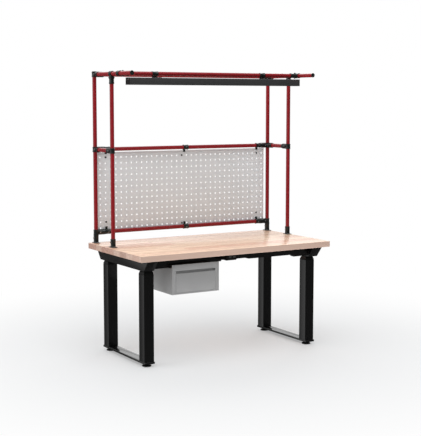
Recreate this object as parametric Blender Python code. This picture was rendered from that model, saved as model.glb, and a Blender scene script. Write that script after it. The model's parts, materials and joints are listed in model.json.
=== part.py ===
"""Height-adjustable workbench with a pipe rack, built as separate pieces.

Metres, +Z up, +X to the right as seen from the front, -Y to the front. The origin lies on
the floor under the middle of the worktop, and the bench is modelled at its lowest height.
"""
import math

import bmesh
import bpy
from mathutils import Matrix, Vector

# Fits that all pieces share
TOUCH_GAP = 0.0003
SLIDE_GAP = 0.0005
CUT_OVERRUN = 0.006

# Number of sides of round pieces, and the angle from which an edge is sharp
PIPE_SIDES = 12
FOOT_SIDES = 12
SCREW_SIDES = 8
SHARP_ANGLE = math.radians(40)

# Worktop, with its upper face at the lowest height, and the lift above it
TOP_LENGTH = 1.5
TOP_DEPTH = 0.8
TOP_THICKNESS = 0.04
TOP_EDGE_ROUND = 0.002
TOP_HEIGHT = 0.75
LIFT_RESERVE = 0.35

# Levelling feet, from the floor up to the base plate
FOOT_DIAMETER = 0.062
FOOT_PAD_HEIGHT = 0.008
FOOT_NECK_DIAMETER = 0.03
FOOT_HEIGHT = 0.02
FOOT_STUD_DIAMETER = 0.01
FOOT_STUD_RISE = 0.006

# Base plates, flat bars that carry a front and a rear column
PLATE_WIDTH = 0.074
PLATE_END = 0.0475
PLATE_THICKNESS = 0.014
PLATE_EDGE = 0.0015

# Telescopic columns, in from the edges of the worktop
COLUMN_INSET_X = 0.104
COLUMN_INSET_Y = 0.1325
OUTER_WIDTH = 0.073
OUTER_DEPTH = 0.0745
OUTER_WALL = 0.003
OUTER_CORNER = 0.0025
INNER_WIDTH = 0.056
INNER_DEPTH = 0.059
INNER_WALL = 0.0025
INNER_CORNER = 0.005
CORNER_STEPS = 1
INNER_FLOOR_GAP = 0.014
COLLAR_HEIGHT = 0.021
COLLAR_LIP = 0.002
COLLAR_RAIL_GAP = 0.006
GLIDE_HEIGHT = 0.03

# Screw drive inside each column: nut tube on the plate, screw, motor in the column's head
SCREW_DIAMETER = 0.018
SCREW_FLOOR_GAP = 0.018
SCREW_ENGAGEMENT = 0.023
NUT_HEIGHT = 0.03
NUT_DIAMETER = 0.036
NUT_TUBE_DIAMETER = 0.026
NUT_WELD = 0.002
MOTOR_NUT_GAP = 0.01
MOTOR_DIAMETER = 0.044
MOTOR_FLANGE_HEIGHT = 0.012

# Side rails, trays with slanted ends under the worktop
RAIL_WIDTH = 0.076
RAIL_HEIGHT = 0.0715
RAIL_SHIFT_OUT = 0.009
RAIL_END_INSET = 0.017
RAIL_END_SLANT = 0.058
RAIL_WALL = 0.003

# Cross beams, a core between two wider sleeves, and the brackets of the rails under them
BEAM_INSET = 0.07
BEAM_DEPTH = 0.04
BEAM_SLEEVE_HEIGHT = 0.0457
BEAM_WALL = 0.0025
BEAM_SLEEVE_OPENING = 0.22
BEAM_CORE_LENGTH = 0.5
BEAM_CORE_HEIGHT = 0.0362
BRACKET_REACH = 0.141
BRACKET_HEIGHT = 0.0137
BRACKET_SLOPE = 0.012

# Controller under the worktop, with its sockets
CONTROLLER_LENGTH = 0.24
CONTROLLER_DEPTH = 0.11
CONTROLLER_HEIGHT = 0.036
CONTROLLER_X = 0.32
CONTROLLER_Y = 0.0
CONTROLLER_EDGE = 0.003
PORT_COUNT = 5
PORT_WIDTH = 0.016
PORT_HEIGHT = 0.012
PORT_PITCH = 0.026
PORT_DEPTH = 0.012
INLET_WIDTH = 0.026
INLET_HEIGHT = 0.018
INLET_DEPTH = 0.016

# Handset under the front edge, with two push buttons
HANDSET_WIDTH = 0.078
HANDSET_DEPTH = 0.053
HANDSET_HEIGHT = 0.0355
HANDSET_X = -0.065
HANDSET_FRONT_INSET = 0.002
HANDSET_CHIN = 0.012
BUTTON_WIDTH = 0.02
BUTTON_HEIGHT = 0.013
BUTTON_DEPTH = 0.006
BUTTON_PROUD = 0.0018
BUTTON_PITCH = 0.032
BUTTON_DROP = 0.012
BUTTON_TRAVEL = 0.0015

# Drawer unit: case with its face frame, runners and hangers, and the drawer with its slides
CASE_WIDTH = 0.357
CASE_DEPTH = 0.45
CASE_RAIL_GAP = 0.105
CASE_FACE_INSET = 0.025
CASE_DROP = 0.234
CASE_WALL = 0.002
FACE_THICKNESS = 0.003
FACE_HEIGHT = 0.196
FACE_SIDE_BORDER = 0.028
FACE_TOP_BORDER = 0.04
FACE_BOTTOM_BORDER = 0.01
DRAWER_REVEAL = 0.001
DRAWER_FRONT_DEPTH = 0.016
DRAWER_SHEET = 0.0015
GRIP_HEIGHT = 0.0172
GRIP_TROUGH = 0.015
GRIP_LIP = 0.003
SLIDE_HEIGHT = 0.036
SLIDE_THICKNESS = 0.011
SLIDE_RISE = 0.03
RUNNER_WALL = 0.002
BOX_HEIGHT = 0.121
BOX_DEPTH = 0.4
BOX_FLOOR_GAP = 0.003
HANGER_PLATE = 0.002
HANGER_WIDTH = 0.23
HANGER_LEG_SPREAD = 0.18
HANGER_DEPTH = 0.036
HANGER_REAR_INSET = 0.02

# Pipes of the rack: in from the worktop's edges, forward of the rear pipes, above the worktop
PIPE_DIAMETER = 0.028
PIPE_WALL = 0.0015
RACK_SHIFT_X = 0.012
UPRIGHT_INSET_X = 0.032
REAR_PIPE_INSET = 0.035
FRONT_PIPE_REACH = 0.27
FRONT_BAR_REACH = 0.385
TOP_RAIL_REACH = 0.569
LOWER_RAIL_RISE = 0.075
MID_RAIL_RISE = 0.651
TOP_RAIL_RISE = 1.165
CAP_THICKNESS = 0.003
CAP_DIAMETER = 0.03
UPRIGHT_TOP_RISE = 0.0185

# Clamp joints of the rack
JOINT_CLEARANCE = 0.0004
JOINT_DIAMETER = 0.0365
JOINT_RING_LENGTH = 0.036
JOINT_SLEEVE_DIAMETER = 0.0355
JOINT_REACH = 0.068
JOINT_WEB = 0.007

# Sockets that hold the uprights on the worktop and reach up to the lower joints
SOCKET_DIAMETER = 0.036
SOCKET_FLANGE_WIDTH = 0.038
SOCKET_FLANGE_LENGTH = 0.068
SOCKET_FLANGE_THICKNESS = 0.003
SOCKET_FLANGE_CORNER = 0.008

# Perforated panel and the clips that hold it to the rails
PANEL_END_GAP = 0.023
PANEL_TOP_DROP = 0.022
PANEL_BOTTOM_DROP = 0.012
PANEL_SHEET = 0.002
PANEL_RETURN = 0.012
HOLE_COLUMNS = 34
HOLE_ROWS = 13
HOLE_SIZE = 0.0105
SIDE_HOLE_INSET = 0.0218
TOP_HOLE_DROP = 0.036
BOTTOM_HOLE_RISE = 0.0356
CLIP_RING_LENGTH = 0.04
CLIP_STRAP_WIDTH = 0.016
CLIP_STRAP_THICKNESS = 0.003
CLIP_TONGUE_REACH = 0.034
CLIP_ROOT = 0.006
CLIP_ARM_PAST_HOLE = 0.01
SIDE_CLIP_INSET = 0.089

# Light bar, its cover and board, and its hangers on the front bar
LIGHT_END_GAP = 0.0335
LIGHT_SHIFT_X = 0.0055
LIGHT_DEPTH = 0.05
LIGHT_HEIGHT = 0.0475
LIGHT_REACH = 0.065
LIGHT_BAR_DROP = 0.0275
LIGHT_CORNER = 0.004
LIGHT_WALL = 0.003
DIFFUSER_THICKNESS = 0.003
DIFFUSER_RECESS = 0.001
LED_BOARD_THICKNESS = 0.002
LED_BOARD_WIDTH = 0.03
LIGHT_HANGER_INSET = 0.254
LIGHT_HANGER_SHIFT_X = -0.03
LIGHT_HANGER_WIDTH = 0.045
LIGHT_HANGER_FOOT = 0.003
LIGHT_HANGER_FOOT_INSET = 0.004
LIGHT_HANGER_NECK = 0.012

# Heights that follow from the sizes above
LIFT_STROKE = TOP_HEIGHT - LIFT_RESERVE
TOP_UNDERSIDE = TOP_HEIGHT - TOP_THICKNESS
FRAME_TOP = TOP_UNDERSIDE - TOUCH_GAP
RAIL_BOTTOM = FRAME_TOP - RAIL_HEIGHT
PLATE_TOP = FOOT_HEIGHT + PLATE_THICKNESS
COLUMN_BOTTOM = PLATE_TOP + TOUCH_GAP
INNER_TOP = RAIL_BOTTOM - TOUCH_GAP
INNER_BOTTOM = PLATE_TOP + INNER_FLOOR_GAP
COLLAR_TOP = RAIL_BOTTOM - COLLAR_RAIL_GAP
COLLAR_BOTTOM = COLLAR_TOP - COLLAR_HEIGHT
SCREW_BOTTOM = PLATE_TOP + SCREW_FLOOR_GAP
NUT_BOTTOM = SCREW_BOTTOM + LIFT_STROKE + SCREW_ENGAGEMENT
NUT_TOP = NUT_BOTTOM + NUT_HEIGHT
MOTOR_BOTTOM = NUT_TOP + MOTOR_NUT_GAP
BEAM_BOTTOM = FRAME_TOP - BEAM_SLEEVE_HEIGHT
BRACKET_TOP = BEAM_BOTTOM - TOUCH_GAP
CASE_TOP = BRACKET_TOP - BRACKET_HEIGHT - TOUCH_GAP
CASE_BOTTOM = TOP_UNDERSIDE - CASE_DROP
LOWER_RAIL_HEIGHT = TOP_HEIGHT + LOWER_RAIL_RISE
MID_RAIL_HEIGHT = TOP_HEIGHT + MID_RAIL_RISE
TOP_RAIL_HEIGHT = TOP_HEIGHT + TOP_RAIL_RISE
SOCKET_FOOT = TOP_HEIGHT + TOUCH_GAP
SOCKET_TOP = LOWER_RAIL_HEIGHT - JOINT_RING_LENGTH / 2 - TOUCH_GAP
SOCKET_HEIGHT = SOCKET_TOP - SOCKET_FOOT
UPRIGHT_FOOT = SOCKET_FOOT + SOCKET_FLANGE_THICKNESS + TOUCH_GAP
PANEL_TOP = MID_RAIL_HEIGHT - PANEL_TOP_DROP
PANEL_BOTTOM = LOWER_RAIL_HEIGHT - PANEL_BOTTOM_DROP
HOLE_FIELD_HEIGHT = PANEL_TOP - TOP_HOLE_DROP - PANEL_BOTTOM - BOTTOM_HOLE_RISE
HOLE_PITCH_Z = HOLE_FIELD_HEIGHT / (HOLE_ROWS - 1)
LIGHT_TOP = TOP_RAIL_HEIGHT - LIGHT_BAR_DROP

# Widths and places that follow from the sizes above
COLUMN_SPREAD_X = TOP_LENGTH - 2 * COLUMN_INSET_X
COLUMN_SPREAD_Y = TOP_DEPTH - 2 * COLUMN_INSET_Y
PLATE_LENGTH = COLUMN_SPREAD_Y + 2 * PLATE_END
RAIL_TOP_LENGTH = TOP_DEPTH - 2 * RAIL_END_INSET
RAIL_BOTTOM_LENGTH = RAIL_TOP_LENGTH - 2 * RAIL_END_SLANT
RAIL_X = COLUMN_SPREAD_X / 2 + RAIL_SHIFT_OUT
RAIL_INNER_X = RAIL_X - RAIL_WIDTH / 2
BEAM_Y = (TOP_DEPTH - BEAM_DEPTH) / 2 - BEAM_INSET
CASE_X = CASE_WIDTH / 2 + CASE_RAIL_GAP - RAIL_INNER_X
CASE_FACE_Y = CASE_FACE_INSET - TOP_DEPTH / 2
UPRIGHT_SPREAD = TOP_LENGTH - 2 * UPRIGHT_INSET_X
REAR_PIPE_Y = TOP_DEPTH / 2 - REAR_PIPE_INSET
FRONT_PIPE_Y = REAR_PIPE_Y - FRONT_PIPE_REACH
FRONT_BAR_Y = REAR_PIPE_Y - FRONT_BAR_REACH
TOP_RAIL_FRONT_Y = REAR_PIPE_Y - TOP_RAIL_REACH
BRANCH_START = PIPE_DIAMETER / 2 + JOINT_WEB
PANEL_FRONT_Y = REAR_PIPE_Y + JOINT_DIAMETER / 2 + TOUCH_GAP
PANEL_WIDTH = UPRIGHT_SPREAD - 2 * PANEL_END_GAP
HOLE_PITCH_X = (PANEL_WIDTH - 2 * SIDE_HOLE_INSET) / (HOLE_COLUMNS - 1)
SIDE_CLIP_SPREAD = UPRIGHT_SPREAD - 2 * SIDE_CLIP_INSET
LIGHT_LENGTH = UPRIGHT_SPREAD - 2 * LIGHT_END_GAP
LIGHT_FRONT_Y = FRONT_BAR_Y - LIGHT_REACH
LIGHT_HANGER_SPREAD = LIGHT_LENGTH - 2 * LIGHT_HANGER_INSET

LEFT_RIGHT = (("left", -1), ("right", 1))
FRONT_REAR = (("front", -1), ("rear", 1))
UP = (0, 0, 1)
BACK = (0, 1, 0)
DOWN = (0, 0, -1)


def clear_scene():
    """Remove what the scene holds."""
    for item in list(bpy.data.objects):
        bpy.data.objects.remove(item, do_unlink=True)


def finish(name, colour, roughness, metallic=0.0):
    """A plain surface finish."""
    result = bpy.data.materials.new(name)
    result.use_nodes = True
    shader = result.node_tree.nodes["Principled BSDF"]
    shader.inputs["Base Color"].default_value = (*colour, 1.0)
    shader.inputs["Roughness"].default_value = roughness
    shader.inputs["Metallic"].default_value = metallic
    return result


def closed(shape):
    """Turn a bmesh into a mesh whose faces point outwards."""
    bmesh.ops.recalc_face_normals(shape, faces=shape.faces)
    mesh = bpy.data.meshes.new("shape")
    shape.to_mesh(mesh)
    shape.free()
    return mesh


def bridge(shape, first, second):
    """Join two rings that have as many corners as each other."""
    for index in range(len(first)):
        following = (index + 1) % len(first)
        shape.faces.new((first[index], first[following], second[following], second[index]))


def loft(sections):
    """A solid through outlines that follow each other, closed at both ends."""
    shape = bmesh.new()
    rings = [[shape.verts.new(point) for point in section] for section in sections]
    for ring, following in zip(rings, rings[1:]):
        bridge(shape, ring, following)
    shape.faces.new(rings[0])
    shape.faces.new(rings[-1])
    return closed(shape)


def tube(outer_sections, inner_sections):
    """A wall between outer and inner outlines, each listed from its start to its end."""
    shape = bmesh.new()
    sections = [*outer_sections, *reversed(inner_sections)]
    rings = [[shape.verts.new(point) for point in section] for section in sections]
    for ring, following in zip(rings, rings[1:] + rings[:1]):
        bridge(shape, ring, following)
    return closed(shape)


def outline_at(outline, axis, place):
    """Lift an outline of two coordinates to a place along the third axis."""
    if axis == "X":
        return [(place, first, second) for first, second in outline]
    if axis == "Y":
        return [(first, place, second) for first, second in outline]
    return [(first, second, place) for first, second in outline]


def sections_along(axis, *steps):
    """Sections for loft and tube, each step an outline and its place along an axis."""
    return [outline_at(outline, axis, place) for outline, place in steps]


def extrusion(outline, axis, low, high):
    """An outline pushed along one axis, from one place to another."""
    return loft(sections_along(axis, (outline, low), (outline, high)))


def block(low, high):
    """A block between two opposite corners."""
    shape = bmesh.new()
    low = Vector(low)
    high = Vector(high)
    place = Matrix.Translation((low + high) / 2) @ Matrix.Diagonal((*(high - low), 1.0))
    bmesh.ops.create_cube(shape, size=1.0, matrix=place)
    return closed(shape)


def rectangle(low_first, low_second, high_first, high_second):
    """The corners of a rectangle."""
    return [
        (low_first, low_second),
        (high_first, low_second),
        (high_first, high_second),
        (low_first, high_second),
    ]


def rounded_rectangle(width, depth, corner):
    """An outline with eased corners, centred on zero."""
    points = []
    for quarter, (side_x, side_y) in enumerate(((1, 1), (-1, 1), (-1, -1), (1, -1))):
        centre_x = side_x * (width / 2 - corner)
        centre_y = side_y * (depth / 2 - corner)
        for step in range(CORNER_STEPS + 1):
            angle = (quarter + step / CORNER_STEPS) * math.pi / 2
            x = centre_x + corner * math.cos(angle)
            y = centre_y + corner * math.sin(angle)
            points.append((x, y))
    return points


def circle(radius, sides=PIPE_SIDES, phase=0.0):
    """A regular outline; without a phase it has a corner on the first axis."""
    turns = [phase + math.tau * side / sides for side in range(sides)]
    return [(radius * math.cos(turn), radius * math.sin(turn)) for turn in turns]


def cylinder(radius, low, high, sides=PIPE_SIDES):
    """A round bar along Z."""
    return extrusion(circle(radius, sides), "Z", low, high)


def running_bore(diameter, sides):
    """The radius of a bore whose flats clear the corners of the bar that turns in it."""
    return diameter / 2 / math.cos(math.pi / sides) + TOUCH_GAP


def aimed(direction):
    """The turn that brings +Z to a direction."""
    return Vector(UP).rotation_difference(Vector(direction)).to_matrix().to_4x4()


def turned(x_axis, z_axis):
    """The turn that brings +X and +Z to two directions at right angles."""
    x_axis = Vector(x_axis)
    z_axis = Vector(z_axis)
    y_axis = z_axis.cross(x_axis)
    return Matrix((x_axis, y_axis, z_axis)).transposed().to_4x4()


def moved(mesh, matrix):
    """A copy of a mesh at another place."""
    copy = mesh.copy()
    copy.transform(matrix)
    return copy


def shifted(mesh, x=0.0, y=0.0, z=0.0):
    """A copy of a mesh pushed along the axes."""
    return moved(mesh, Matrix.Translation((x, y, z)))


def combined(body, tools, operation):
    """Join tools to a body, or cut them out of it."""
    scene = bpy.context.scene.collection
    holder = bpy.data.objects.new("body", body)
    scene.objects.link(holder)
    helpers = [holder]
    for tool in tools:
        helper = bpy.data.objects.new("tool", tool)
        helper.hide_render = True
        helper.display_type = "WIRE"
        scene.objects.link(helper)
        helpers.append(helper)
        modifier = holder.modifiers.new("Boolean", "BOOLEAN")
        modifier.operation = operation
        modifier.object = helper
    evaluated = holder.evaluated_get(bpy.context.evaluated_depsgraph_get())
    result = bpy.data.meshes.new_from_object(evaluated)
    for helper in helpers:
        bpy.data.objects.remove(helper, do_unlink=True)
    return result


def joined(body, tools):
    """One solid of a body and what is welded to it."""
    return combined(body, tools, "UNION")


def cut(body, tools):
    """A body with pieces taken out of it."""
    return combined(body, tools, "DIFFERENCE")


def bevelled(mesh, width):
    """A copy with all of its sharp edges eased."""
    shape = bmesh.new()
    shape.from_mesh(mesh)
    edges = [edge for edge in shape.edges if edge.calc_face_angle(0.0) > SHARP_ANGLE]
    bmesh.ops.bevel(shape, geom=edges, offset=width, segments=1, profile=0.5,
                    affect="EDGES", clamp_overlap=True)
    return closed(shape)


def empty(name, location=(0, 0, 0), parent=None):
    """A parent for what moves together."""
    result = bpy.data.objects.new(name, None)
    result.empty_display_size = PIPE_DIAMETER
    bpy.context.scene.collection.objects.link(result)
    result.location = location
    result.parent = parent
    return result


def piece(name, mesh, surface, parent, location=(0, 0, 0), turn=None):
    """One named piece, placed in its parent's frame."""
    mesh.materials.clear()
    mesh.materials.append(surface)
    mesh.shade_smooth()
    mesh.set_sharp_from_angle(angle=SHARP_ANGLE)
    item = bpy.data.objects.new(name, mesh)
    bpy.context.scene.collection.objects.link(item)
    item.parent = parent
    item.location = location
    if turn is not None:
        item.rotation_euler = turn.to_euler()
    return item


def column_places():
    """Names and centres of the four columns."""
    for depth_name, depth_side in FRONT_REAR:
        for side_name, side in LEFT_RIGHT:
            x = side * COLUMN_SPREAD_X / 2
            y = depth_side * COLUMN_SPREAD_Y / 2
            yield f"{depth_name}_{side_name}", x, y


def foot_mesh():
    """A levelling foot: pad, neck and the stud that screws into the plate."""
    pad = circle(FOOT_DIAMETER / 2, FOOT_SIDES)
    neck = circle(FOOT_NECK_DIAMETER / 2, FOOT_SIDES)
    stud = circle(FOOT_STUD_DIAMETER / 2, FOOT_SIDES)
    neck_top = FOOT_HEIGHT - TOUCH_GAP
    stud_top = PLATE_TOP + FOOT_STUD_RISE
    return loft(sections_along("Z", (pad, 0), (pad, FOOT_PAD_HEIGHT), (neck, neck_top),
                               (stud, neck_top), (stud, stud_top)))


def base_plate_mesh():
    """A flat bar with the stud hole of each foot and the nut tube of each screw."""
    half_x = PLATE_WIDTH / 2
    half_y = PLATE_LENGTH / 2
    bar = block((-half_x, -half_y, FOOT_HEIGHT), (half_x, half_y, PLATE_TOP))
    bar = bevelled(bar, PLATE_EDGE)
    stem = circle(NUT_TUBE_DIAMETER / 2, SCREW_SIDES)
    head = circle(NUT_DIAMETER / 2, SCREW_SIDES)
    post = loft(sections_along("Z", (stem, PLATE_TOP - NUT_WELD), (stem, NUT_BOTTOM),
                               (head, NUT_BOTTOM), (head, NUT_TOP)))
    hole = cylinder(FOOT_STUD_DIAMETER / 2 + TOUCH_GAP, FOOT_HEIGHT - CUT_OVERRUN,
                    PLATE_TOP + CUT_OVERRUN, FOOT_SIDES)
    bore = cylinder(running_bore(SCREW_DIAMETER, SCREW_SIDES), PLATE_TOP,
                    NUT_TOP + CUT_OVERRUN, SCREW_SIDES)
    places = [side * COLUMN_SPREAD_Y / 2 for _, side in FRONT_REAR]
    body = joined(bar, [shifted(post, y=place) for place in places])
    cutters = [shifted(tool, y=place) for place in places for tool in (hole, bore)]
    return cut(body, cutters)


def outer_column_mesh():
    """The fixed tube of a column, with the tapered collar on its mouth."""
    clear = 2 * SLIDE_GAP
    lip = clear + 2 * COLLAR_LIP
    body = rounded_rectangle(OUTER_WIDTH, OUTER_DEPTH, OUTER_CORNER)
    mouth = rounded_rectangle(INNER_WIDTH + lip, INNER_DEPTH + lip, INNER_CORNER)
    bore = rounded_rectangle(OUTER_WIDTH - 2 * OUTER_WALL, OUTER_DEPTH - 2 * OUTER_WALL,
                             OUTER_CORNER - OUTER_WALL / 2)
    guide = rounded_rectangle(INNER_WIDTH + clear, INNER_DEPTH + clear, INNER_CORNER)
    outer = sections_along("Z", (body, COLUMN_BOTTOM), (body, COLLAR_BOTTOM),
                           (mouth, COLLAR_TOP))
    inner = sections_along("Z", (bore, COLUMN_BOTTOM), (bore, COLLAR_BOTTOM),
                           (guide, COLLAR_BOTTOM), (guide, COLLAR_TOP))
    return tube(outer, inner)


def inner_column_mesh():
    """The sliding tube of a column, with its glide ring below and its motor in the head."""
    clear = 2 * (OUTER_WALL + SLIDE_GAP)
    glide = rounded_rectangle(OUTER_WIDTH - clear, OUTER_DEPTH - clear, OUTER_CORNER)
    body = rounded_rectangle(INNER_WIDTH, INNER_DEPTH, INNER_CORNER)
    bore = rounded_rectangle(INNER_WIDTH - 2 * INNER_WALL, INNER_DEPTH - 2 * INNER_WALL,
                             INNER_CORNER - INNER_WALL / 2)
    motor = circle(MOTOR_DIAMETER / 2, len(bore), math.pi / len(bore))
    flange = INNER_TOP - MOTOR_FLANGE_HEIGHT
    glide_top = INNER_BOTTOM + GLIDE_HEIGHT
    return loft(sections_along("Z", (motor, MOTOR_BOTTOM), (motor, flange), (bore, flange),
                               (bore, INNER_BOTTOM), (glide, INNER_BOTTOM),
                               (glide, glide_top), (body, glide_top), (body, INNER_TOP)))


def screw_mesh():
    """A lead screw, from its motor down into its nut."""
    return cylinder(SCREW_DIAMETER / 2, SCREW_BOTTOM, MOTOR_BOTTOM - TOUCH_GAP, SCREW_SIDES)


def bracket_mesh(side, depth_side):
    """The bracket that carries a beam's end, with a sloped nose, in its rail's frame."""
    root = RAIL_WIDTH / 2 - RAIL_WALL / 2
    nose = RAIL_WIDTH / 2 + BRACKET_REACH
    bottom = BRACKET_TOP - BRACKET_HEIGHT
    outline = [
        (-side * root, bottom),
        (-side * (nose - BRACKET_SLOPE), bottom),
        (-side * nose, BRACKET_TOP),
        (-side * root, BRACKET_TOP),
    ]
    middle = depth_side * BEAM_Y
    return extrusion(outline, "Y", middle - BEAM_DEPTH / 2, middle + BEAM_DEPTH / 2)


def side_rail_mesh(side):
    """A tray with slanted ends, and the brackets under the beams welded to it."""
    half_x = RAIL_WIDTH / 2
    foot = RAIL_BOTTOM_LENGTH / 2
    head = RAIL_TOP_LENGTH / 2
    outline = [(-foot, RAIL_BOTTOM), (foot, RAIL_BOTTOM), (head, FRAME_TOP), (-head, FRAME_TOP)]
    body = extrusion(outline, "X", -half_x, half_x)
    slope = (head - foot) / RAIL_HEIGHT
    slant_wall = RAIL_WALL * math.hypot(1, slope)
    floor = foot - slant_wall + slope * RAIL_WALL
    mouth = head - slant_wall + slope * CUT_OVERRUN
    hollow_outline = [
        (-floor, RAIL_BOTTOM + RAIL_WALL),
        (floor, RAIL_BOTTOM + RAIL_WALL),
        (mouth, FRAME_TOP + CUT_OVERRUN),
        (-mouth, FRAME_TOP + CUT_OVERRUN),
    ]
    hollow = extrusion(hollow_outline, "X", -half_x + RAIL_WALL, half_x - RAIL_WALL)
    tray = cut(body, [hollow])
    return joined(tray, [bracket_mesh(side, depth_side) for _, depth_side in FRONT_REAR])


def beam_mesh():
    """A cross beam: a narrower core between its two sleeves, open at the ends."""
    half = BEAM_DEPTH / 2
    wall = BEAM_WALL
    core_half = half - wall
    core_top = FRAME_TOP - wall
    core_bottom = core_top - BEAM_CORE_HEIGHT
    sleeve = rectangle(-half, BEAM_BOTTOM, half, FRAME_TOP)
    sleeve_bore = rectangle(-half + wall, BEAM_BOTTOM + wall, half - wall, FRAME_TOP - wall)
    core = rectangle(-core_half, core_bottom, core_half, core_top)
    core_bore = rectangle(-core_half + wall, core_bottom + wall, core_half - wall,
                          core_top - wall)
    end = RAIL_INNER_X - TOUCH_GAP
    mouth = BEAM_SLEEVE_OPENING / 2
    inside = BEAM_CORE_LENGTH / 2
    outer_steps = [(sleeve, -end), (sleeve, -mouth), (core, -mouth), (core, mouth),
                   (sleeve, mouth), (sleeve, end)]
    inner_steps = [(sleeve_bore, -end), (sleeve_bore, -inside), (core_bore, -inside),
                   (core_bore, inside), (sleeve_bore, inside), (sleeve_bore, end)]
    return tube(sections_along("X", *outer_steps), sections_along("X", *inner_steps))


def worktop_mesh():
    """A solid slab with eased edges."""
    half_x = TOP_LENGTH / 2
    half_y = TOP_DEPTH / 2
    slab = block((-half_x, -half_y, TOP_UNDERSIDE), (half_x, half_y, TOP_HEIGHT))
    return bevelled(slab, TOP_EDGE_ROUND)


def controller_mesh():
    """The controller's case, with motor sockets in front and the mains inlet at its end."""
    half_x = CONTROLLER_LENGTH / 2
    half_y = CONTROLLER_DEPTH / 2
    bottom = FRAME_TOP - CONTROLLER_HEIGHT
    case = block((-half_x, -half_y, bottom), (half_x, half_y, FRAME_TOP))
    case = bevelled(case, CONTROLLER_EDGE)
    middle = (bottom + FRAME_TOP) / 2
    pockets = []
    for index in range(PORT_COUNT):
        x = (index - (PORT_COUNT - 1) / 2) * PORT_PITCH
        low = (x - PORT_WIDTH / 2, -half_y - CUT_OVERRUN, middle - PORT_HEIGHT / 2)
        high = (x + PORT_WIDTH / 2, -half_y + PORT_DEPTH, middle + PORT_HEIGHT / 2)
        pockets.append(block(low, high))
    inlet_low = (half_x - INLET_DEPTH, -INLET_WIDTH / 2, middle - INLET_HEIGHT / 2)
    inlet_high = (half_x + CUT_OVERRUN, INLET_WIDTH / 2, middle + INLET_HEIGHT / 2)
    pockets.append(block(inlet_low, inlet_high))
    return cut(case, pockets)


def button_centre(side):
    """The middle of a button's outer face, in the handset's frame."""
    front = -HANDSET_DEPTH / 2
    return Vector((side * BUTTON_PITCH / 2, front - BUTTON_PROUD, FRAME_TOP - BUTTON_DROP))


def handset_mesh():
    """The handset's case, with a drawn-back chin and a pocket for each button."""
    front = -HANDSET_DEPTH / 2
    back = HANDSET_DEPTH / 2
    bottom = FRAME_TOP - HANDSET_HEIGHT
    outline = [
        (front, FRAME_TOP),
        (front, bottom + HANDSET_CHIN),
        (front + HANDSET_CHIN, bottom),
        (back, bottom),
        (back, FRAME_TOP),
    ]
    half_x = HANDSET_WIDTH / 2
    case = extrusion(outline, "X", -half_x, half_x)
    pocket_depth = BUTTON_DEPTH - BUTTON_PROUD + BUTTON_TRAVEL + TOUCH_GAP
    pockets = []
    for _, side in LEFT_RIGHT:
        middle = button_centre(side)
        reach_x = BUTTON_WIDTH / 2 + TOUCH_GAP
        reach_z = BUTTON_HEIGHT / 2 + TOUCH_GAP
        low = (middle.x - reach_x, front - CUT_OVERRUN, middle.z - reach_z)
        high = (middle.x + reach_x, front + pocket_depth, middle.z + reach_z)
        pockets.append(block(low, high))
    return cut(case, pockets)


def button_mesh():
    """A push button, from the middle of its outer face."""
    half_x = BUTTON_WIDTH / 2
    half_z = BUTTON_HEIGHT / 2
    return block((-half_x, 0, -half_z), (half_x, BUTTON_DEPTH, half_z))


def face_opening():
    """The opening in the drawer unit's face: half width, lower and upper edge."""
    half = CASE_WIDTH / 2 - FACE_SIDE_BORDER
    low = CASE_BOTTOM + FACE_BOTTOM_BORDER
    high = CASE_BOTTOM + FACE_HEIGHT - FACE_TOP_BORDER
    return half, low, high


def slide_section():
    """The outline of a drawer slide on the right: inner and outer X, lower and upper Z."""
    half, low, _ = face_opening()
    outer = half - DRAWER_REVEAL
    return outer - SLIDE_THICKNESS, outer, low + SLIDE_RISE, low + SLIDE_RISE + SLIDE_HEIGHT


def slide_span():
    """Where the slides and the runners start and end, behind the drawer's front."""
    start = DRAWER_FRONT_DEPTH + DRAWER_REVEAL
    return start, start + BOX_DEPTH


def runner_outline(side):
    """A fixed runner: the channel round a slide, and its legs out to the case's wall."""
    inner, outer, low, high = slide_section()
    low -= SLIDE_GAP
    high += SLIDE_GAP
    web = outer + SLIDE_GAP
    lip = inner + SLIDE_GAP * 2
    back = web + RUNNER_WALL
    wall = CASE_WIDTH / 2 - CASE_WALL / 2
    outline = [
        (lip, low - RUNNER_WALL),
        (wall, low - RUNNER_WALL),
        (wall, low),
        (back, low),
        (back, high),
        (wall, high),
        (wall, high + RUNNER_WALL),
        (lip, high + RUNNER_WALL),
        (lip, high),
        (web, high),
        (web, low),
        (lip, low),
    ]
    return [(side * first, second) for first, second in outline]


def hat_outline(high):
    """A hat section in X and Z that stands on the case's roof with two flanges."""
    low = CASE_TOP - CASE_WALL / 2
    flange = HANGER_WIDTH / 2
    leg = HANGER_LEG_SPREAD / 2
    inner = leg - HANGER_PLATE
    flange_top = CASE_TOP + HANGER_PLATE
    return [
        (-flange, low),
        (-inner, low),
        (-inner, high - HANGER_PLATE),
        (inner, high - HANGER_PLATE),
        (inner, low),
        (flange, low),
        (flange, flange_top),
        (leg, flange_top),
        (leg, high),
        (-leg, high),
        (-leg, flange_top),
        (-flange, flange_top),
    ]


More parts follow.
